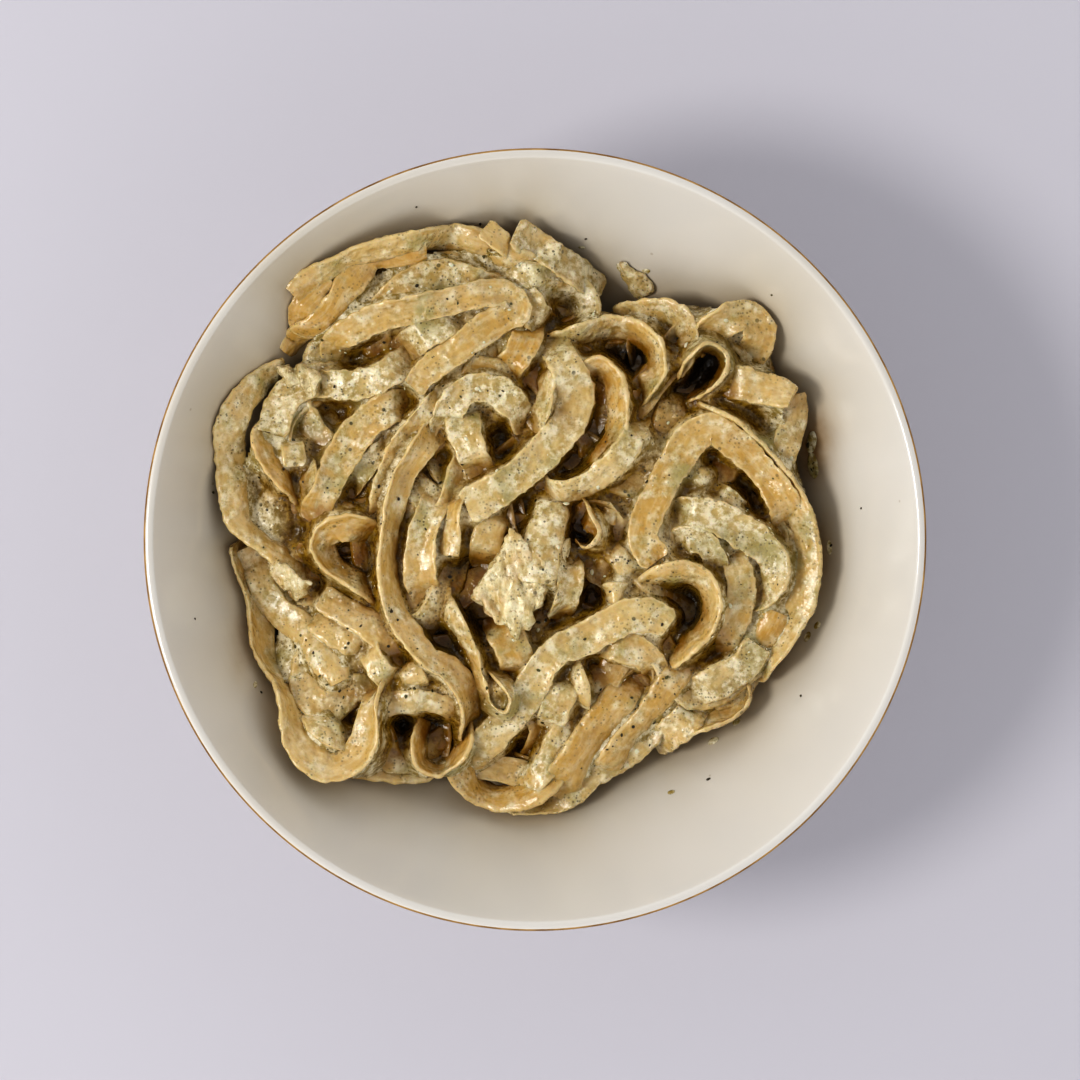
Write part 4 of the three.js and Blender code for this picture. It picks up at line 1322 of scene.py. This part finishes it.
# Size of the even faces, how strongly they are smoothed, and the relief given to them. Pieces
# narrower than the last figure get less of it.
EVEN_FACE = 0.45
SMOOTHING_TIMES = 6
SMOOTHING = 0.6
FIBRE_HEIGHT = 0.3
LUMP_HEIGHT = 0.7
PEBBLE_HEIGHT = 0.6
GROOVE_DEPTH = 3.4
GROOVE_FROM = 0.1
FULL_RELIEF_OVER = 12


def noise_at(points, sample, stretch, shift=0.0):
    """Noise at each point, in a space stretched along each axis."""
    return np.array([sample(Vector(p)) for p in (points * stretch + (0, 0, shift)).tolist()])


def evenly_meshed(name):
    """A copy of a solid's mesh with even small faces, its corners rounded."""
    copy = bpy.data.objects.new(name + "_copy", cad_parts[name].data.copy())
    bpy.context.scene.collection.objects.link(copy)
    remesh = copy.modifiers.new("even", "REMESH")
    remesh.mode = "VOXEL"
    remesh.voxel_size = EVEN_FACE * MM
    soften = copy.modifiers.new("soften", "SMOOTH")
    soften.iterations = SMOOTHING_TIMES
    soften.factor = SMOOTHING
    mesh = bpy.data.meshes.new_from_object(copy.evaluated_get(bpy.context.evaluated_depsgraph_get()))
    bpy.data.objects.remove(copy)
    return mesh


def make_chicken(material):
    """Each piece from its solid: evenly meshed, rounded, then roughened into fibres and grooves."""
    for name in ("chicken_chunk", "chicken_strip_upper", "chicken_strip_lower", "chicken_bit"):
        mesh = evenly_meshed(name)
        at = points_of(mesh)
        x, y, z = at.T
        along_fibres = np.column_stack([x * 0.62 + y * 0.16, y * 0.13 - x * 0.05, z * 0.5])
        along_grooves = np.column_stack([x * 0.42 + y * 0.1, y * 0.09, np.zeros(len(at))])
        fibre = noise_at(along_fibres, lambda p: noise.fractal(p, 1.0, 2.1, 3), 1.0)
        lumps = noise_at(at, noise.noise, 0.28, 5)
        pebbles = noise_at(at, noise.noise, 0.7)
        grooves = noise_at(along_grooves, noise.noise, 1.0, 9)
        relief = FIBRE_HEIGHT * fibre + LUMP_HEIGHT * lumps + PEBBLE_HEIGHT * pebbles
        relief = relief - GROOVE_DEPTH * np.clip(grooves - GROOVE_FROM, 0, 1)
        size = min(1.0, (at.max(0) - at.min(0))[:2].min() / FULL_RELIEF_OVER)
        moved = at + taken(mesh.vertices, "normal") * relief[:, None] * size
        mesh.vertices.foreach_set("co", (moved * MM).astype(np.float32).ravel())
        mesh.update()
        placed(name + "_meat", mesh, material, replaces=[name])


# ---------------------------------------------------------------------------------------------
# Small things
# ---------------------------------------------------------------------------------------------


# Most grains are small ones; this power of an even draw makes them so.
SMALL_GRAINS = 2.2
GRAIN_SIDES = (0.7, 1.3)
GRAIN_DEPTH_SHOWN = 5
BARE_CHANCE = 0.25
# Grains on the heap: how many, their size, rounds, flatness, how far they sink in, seed.
FLECKS = (1100, (0.16, 0.62), 1, 0.35, 0.2, 11)
LUMPS = (250, (0.25, 0.8), 2, 0.3, 0.15, 12)


def facing_of(height):
    """Upward normals of a height field."""
    gy, gx = np.gradient(height, CELL)
    length = np.sqrt(gx * gx + gy * gy + 1)
    return np.stack([-gx / length, -gy / length, 1 / length], axis=-1)


def scattered(name, places, facing, sizes, spin, material, rounds, flatness, seed):
    """A piece made of grains, one at each place."""
    mesh = mesh_of(name + "_points", places, [])
    give_values(mesh, "spin", spin)
    give_values(mesh, "reach", sizes.min(axis=1) * MM)
    give_vectors(mesh, "facing", facing)
    give_vectors(mesh, "size", sizes * MM)
    grains = grown(name, mesh, SCATTER, {
        "Rounds": rounds, "Flatness": flatness, "Seed": float(seed), "Material": material})
    placed(name, grains, smooth=rounds > 1)


def scatter_on_heap(name, grains, surface, weights, material):
    """Grains strewn over what shows of the heap, more where the weights are higher."""
    count, size_range, rounds, flatness, sink, seed = grains
    rng = np.random.default_rng(seed)
    chance = (weights * (packed_height(GRID_X, GRID_Y) > 0)).ravel()
    picked = rng.choice(chance.size, count, p=chance / chance.sum())
    rows, columns = np.unravel_index(picked, weights.shape)
    x = GRID_X[rows, columns] + rng.uniform(-0.5, 0.5, count) * CELL
    y = GRID_Y[rows, columns] + rng.uniform(-0.5, 0.5, count) * CELL
    low, high = size_range
    size = low * (high / low) ** (rng.uniform(0, 1, count) ** SMALL_GRAINS)
    facing = facing_of(surface)[rows, columns]
    z = surface[rows, columns] - sink * size
    length, width = [size * rng.uniform(*GRAIN_SIDES, count) for _ in range(2)]
    sizes = np.column_stack([length, width, size])
    scattered(name, np.column_stack([x, y, z]), facing, sizes, rng.uniform(0, 6.28, count), material,
              rounds, flatness, seed)


# Marks on the bowl's wall. Smears: place, half length, half width, turn in degrees. Dots: place, size.
SMEARS = [(71, 25, 3.2, 1.6, 70), (71.5, 19, 3.4, 1.8, 95), (75.6, -2, 1.9, .9, 95),
          (72.5, -22, 1.2, .9, 30), (70, -25, 1.4, 1.0, 60), (52, -47, 1.3, .9, 40),
          (46, -52, 1.6, 1.0, 20), (35, -65, 1.0, .7, 10), (22.8, 69.5, 2.4, 1.4, 130),
          (28.5, 69, 1.2, .8, 20), (12, 75, .9, .5, 0), (-71.5, -37, 1.0, .6, 60)]
DOTS = [(70.3, 24.3, .9), (71.2, 18.2, .6), (71.8, 19.8, .5), (67.6, 18.5, .5), (76, -1.5, .5),
        (44.5, -61.5, .6), (-82, 12, .5), (-76, -8, .5), (-14, 80.5, .5), (31, -91, .5), (-70, -39, .4),
        (68, -40, .4), (13, 77, .4), (-30, 84, .35), (83, 8, .35), (-86, -20, .3), (60, 62, .35)]
MARK_LIFT = 0.1


def on_wall(x, y):
    """Places and facings just over the bowl's inner wall."""
    r = np.hypot(x, y)
    slope = inner_slope(r)
    length = np.sqrt(slope ** 2 + 1)
    facing = np.column_stack([-x / r * slope / length, -y / r * slope / length, 1 / length])
    return np.column_stack([x, y, inner_height(r)]) + facing * MARK_LIFT, facing


def make_wall_marks(cream, herb):
    """Smears of sauce and dots of herb on the wall."""
    x, y, length, width, turn = np.array(SMEARS, dtype=float).T
    sizes = np.column_stack([length, width * 1.4, width * 0.35])
    scattered("sauce_smears", *on_wall(x, y), sizes, np.radians(turn), cream, 3, 0.32, 5)
    x, y, size = np.array(DOTS, dtype=float).T
    scattered("wall_flecks", *on_wall(x, y), np.column_stack([size, size, size]), x, herb, 2, 0.4, 6)


# ---------------------------------------------------------------------------------------------
# The scrap of noodle on the wall
# ---------------------------------------------------------------------------------------------


def make_scrap(material):
    """A torn noodle that follows the slope of the wall, narrow at its upper end."""
    route = [(22.5, 71), (23.6, 68.6), (26.3, 66), (28.8, 63.2)]
    strand = Strand(6.4, 0, .9, .2, "start", route, 0.9, np.random.default_rng(4))
    part = np.linspace(0, 1, len(strand.x))
    strand.width = strand.width * np.interp(part, [0, .35, .6, 1], [.35, .7, 1, .9])
    r = np.hypot(strand.x, strand.y)
    radial = (strand.x * strand.left_x + strand.y * strand.left_y) / r
    strand.lean = np.arctan(inner_slope(r) * radial)
    strand.z = inner_height(r) + 1.3
    mesh = grown("noodle_scrap_end", strand_lines("noodle_scrap", [strand]), SWEEP, {
        "Sides": 18, "Seed": 8.0, "Material": material})
    give_values(mesh, "deep", np.zeros(len(mesh.vertices)))
    placed("noodle_scrap_end", mesh, replaces=["noodle_scrap"])


# ---------------------------------------------------------------------------------------------
# Camera, light and table
# ---------------------------------------------------------------------------------------------


def make_camera():
    data = bpy.data.cameras.new("overhead")
    data.sensor_width = SENSOR
    data.lens = SENSOR * CAMERA_ABOVE_RIM / VIEW_WIDTH
    data.clip_end = 20
    camera = bpy.data.objects.new("overhead", data)
    camera.location = (*VIEW_CENTRE, bowl_high.z + CAMERA_ABOVE_RIM)
    bpy.context.scene.collection.objects.link(camera)
    bpy.context.scene.camera = camera


def make_window():
    """A round light low over one side, aimed at the food."""
    data = bpy.data.lights.new("window", "AREA")
    data.shape = "DISK"
    data.size = KEY_SIZE
    data.energy = KEY_POWER
    data.color = (1.0, 0.985, 0.96)
    lamp = bpy.data.objects.new("window", data)
    flat = KEY_DISTANCE * math.cos(KEY_HEIGHT)
    high = KEY_DISTANCE * math.sin(KEY_HEIGHT)
    place = Vector((flat * math.cos(KEY_FROM), flat * math.sin(KEY_FROM), high))
    lamp.location = place
    aim = Vector((0, 0, BOWL_CENTRE_HEIGHT * MM)) - place
    lamp.rotation_euler = aim.to_track_quat("-Z", "Y").to_euler()
    bpy.context.scene.collection.objects.link(lamp)


def make_sky():
    """A soft pale surround, darker straight above, and the contrast of the picture."""
    world = bpy.data.worlds.new("studio")
    world.use_nodes = True
    tree = Tree(world.node_tree)
    height = tree.add("ShaderNodeSeparateXYZ", {0: tree.add("ShaderNodeTexCoord", output="Generated")}, "Z")
    strength = tree.add("ShaderNodeMapRange", {
        "Value": height, "From Min": SIDE_SKY_UNDER, "From Max": 1.0, "To Min": SKY_SIDE, "To Max": SKY_TOP},
        interpolation_type="SMOOTHSTEP")
    backdrop = world.node_tree.nodes["Background"]
    tree.feed((0.96, 0.97, 1.0, 1.0), backdrop.inputs["Color"])
    tree.feed(strength, backdrop.inputs["Strength"])
    bpy.context.scene.world = world
    bpy.context.scene.view_settings.view_transform = "Standard"
    bpy.context.scene.view_settings.look = "High Contrast"


def make_table():
    corners = [(x * TABLE_HALF, y * TABLE_HALF, 0) for x, y in ((-1, -1), (1, -1), (1, 1), (-1, 1))]
    table = mesh_of("table_top", corners, [(0, 1, 2, 3)])
    table.materials.append(table_material())
    plane = bpy.data.objects.new("table_top", table)
    bpy.context.scene.collection.objects.link(plane)


# ---------------------------------------------------------------------------------------------
# Assembly
# ---------------------------------------------------------------------------------------------

make_camera()
make_window()
make_sky()
make_table()

pile, hidden_strands, shown_strands = lay_everything()
make_bowl(pile)
pile_roof = filled(pile.top, *ROOF_REACH)
SWEEP = noodle_tree()
SCATTER = scatter_tree()
noodle_finish = noodle_material()
cream_finish = sauce_material()
herb_finish = herb_material()

for title, strands, sides, seed in (("hidden_noodles", hidden_strands, 10, 2.0),
                                    ("noodles", shown_strands, 18, 3.0)):
    noodles = grown(title, strand_lines(title, strands), SWEEP, {
        "Sides": sides, "Seed": seed, "Material": noodle_finish})
    # Depth below the roof, which sets the painted shade in the noodles' colour.
    give_depth(noodles, pile_roof)
    placed(title, noodles, replaces=["tagliatelle"])

sauce_level = make_sauce(pile, pile_roof, cream_finish)
make_chicken(chicken_material())
make_scrap(noodle_finish)

surface = np.maximum(pile.top, sauce_level)
shown_part = (pile_roof - surface < GRAIN_DEPTH_SHOWN).astype(float)
scatter_on_heap("herb_flecks", FLECKS, surface, (BARE_CHANCE + pile.sauce) * shown_part, herb_finish)
scatter_on_heap("cream_lumps", LUMPS, surface, pile.sauce ** 2 * shown_part, lump_material())
make_wall_marks(cream_finish, herb_finish)
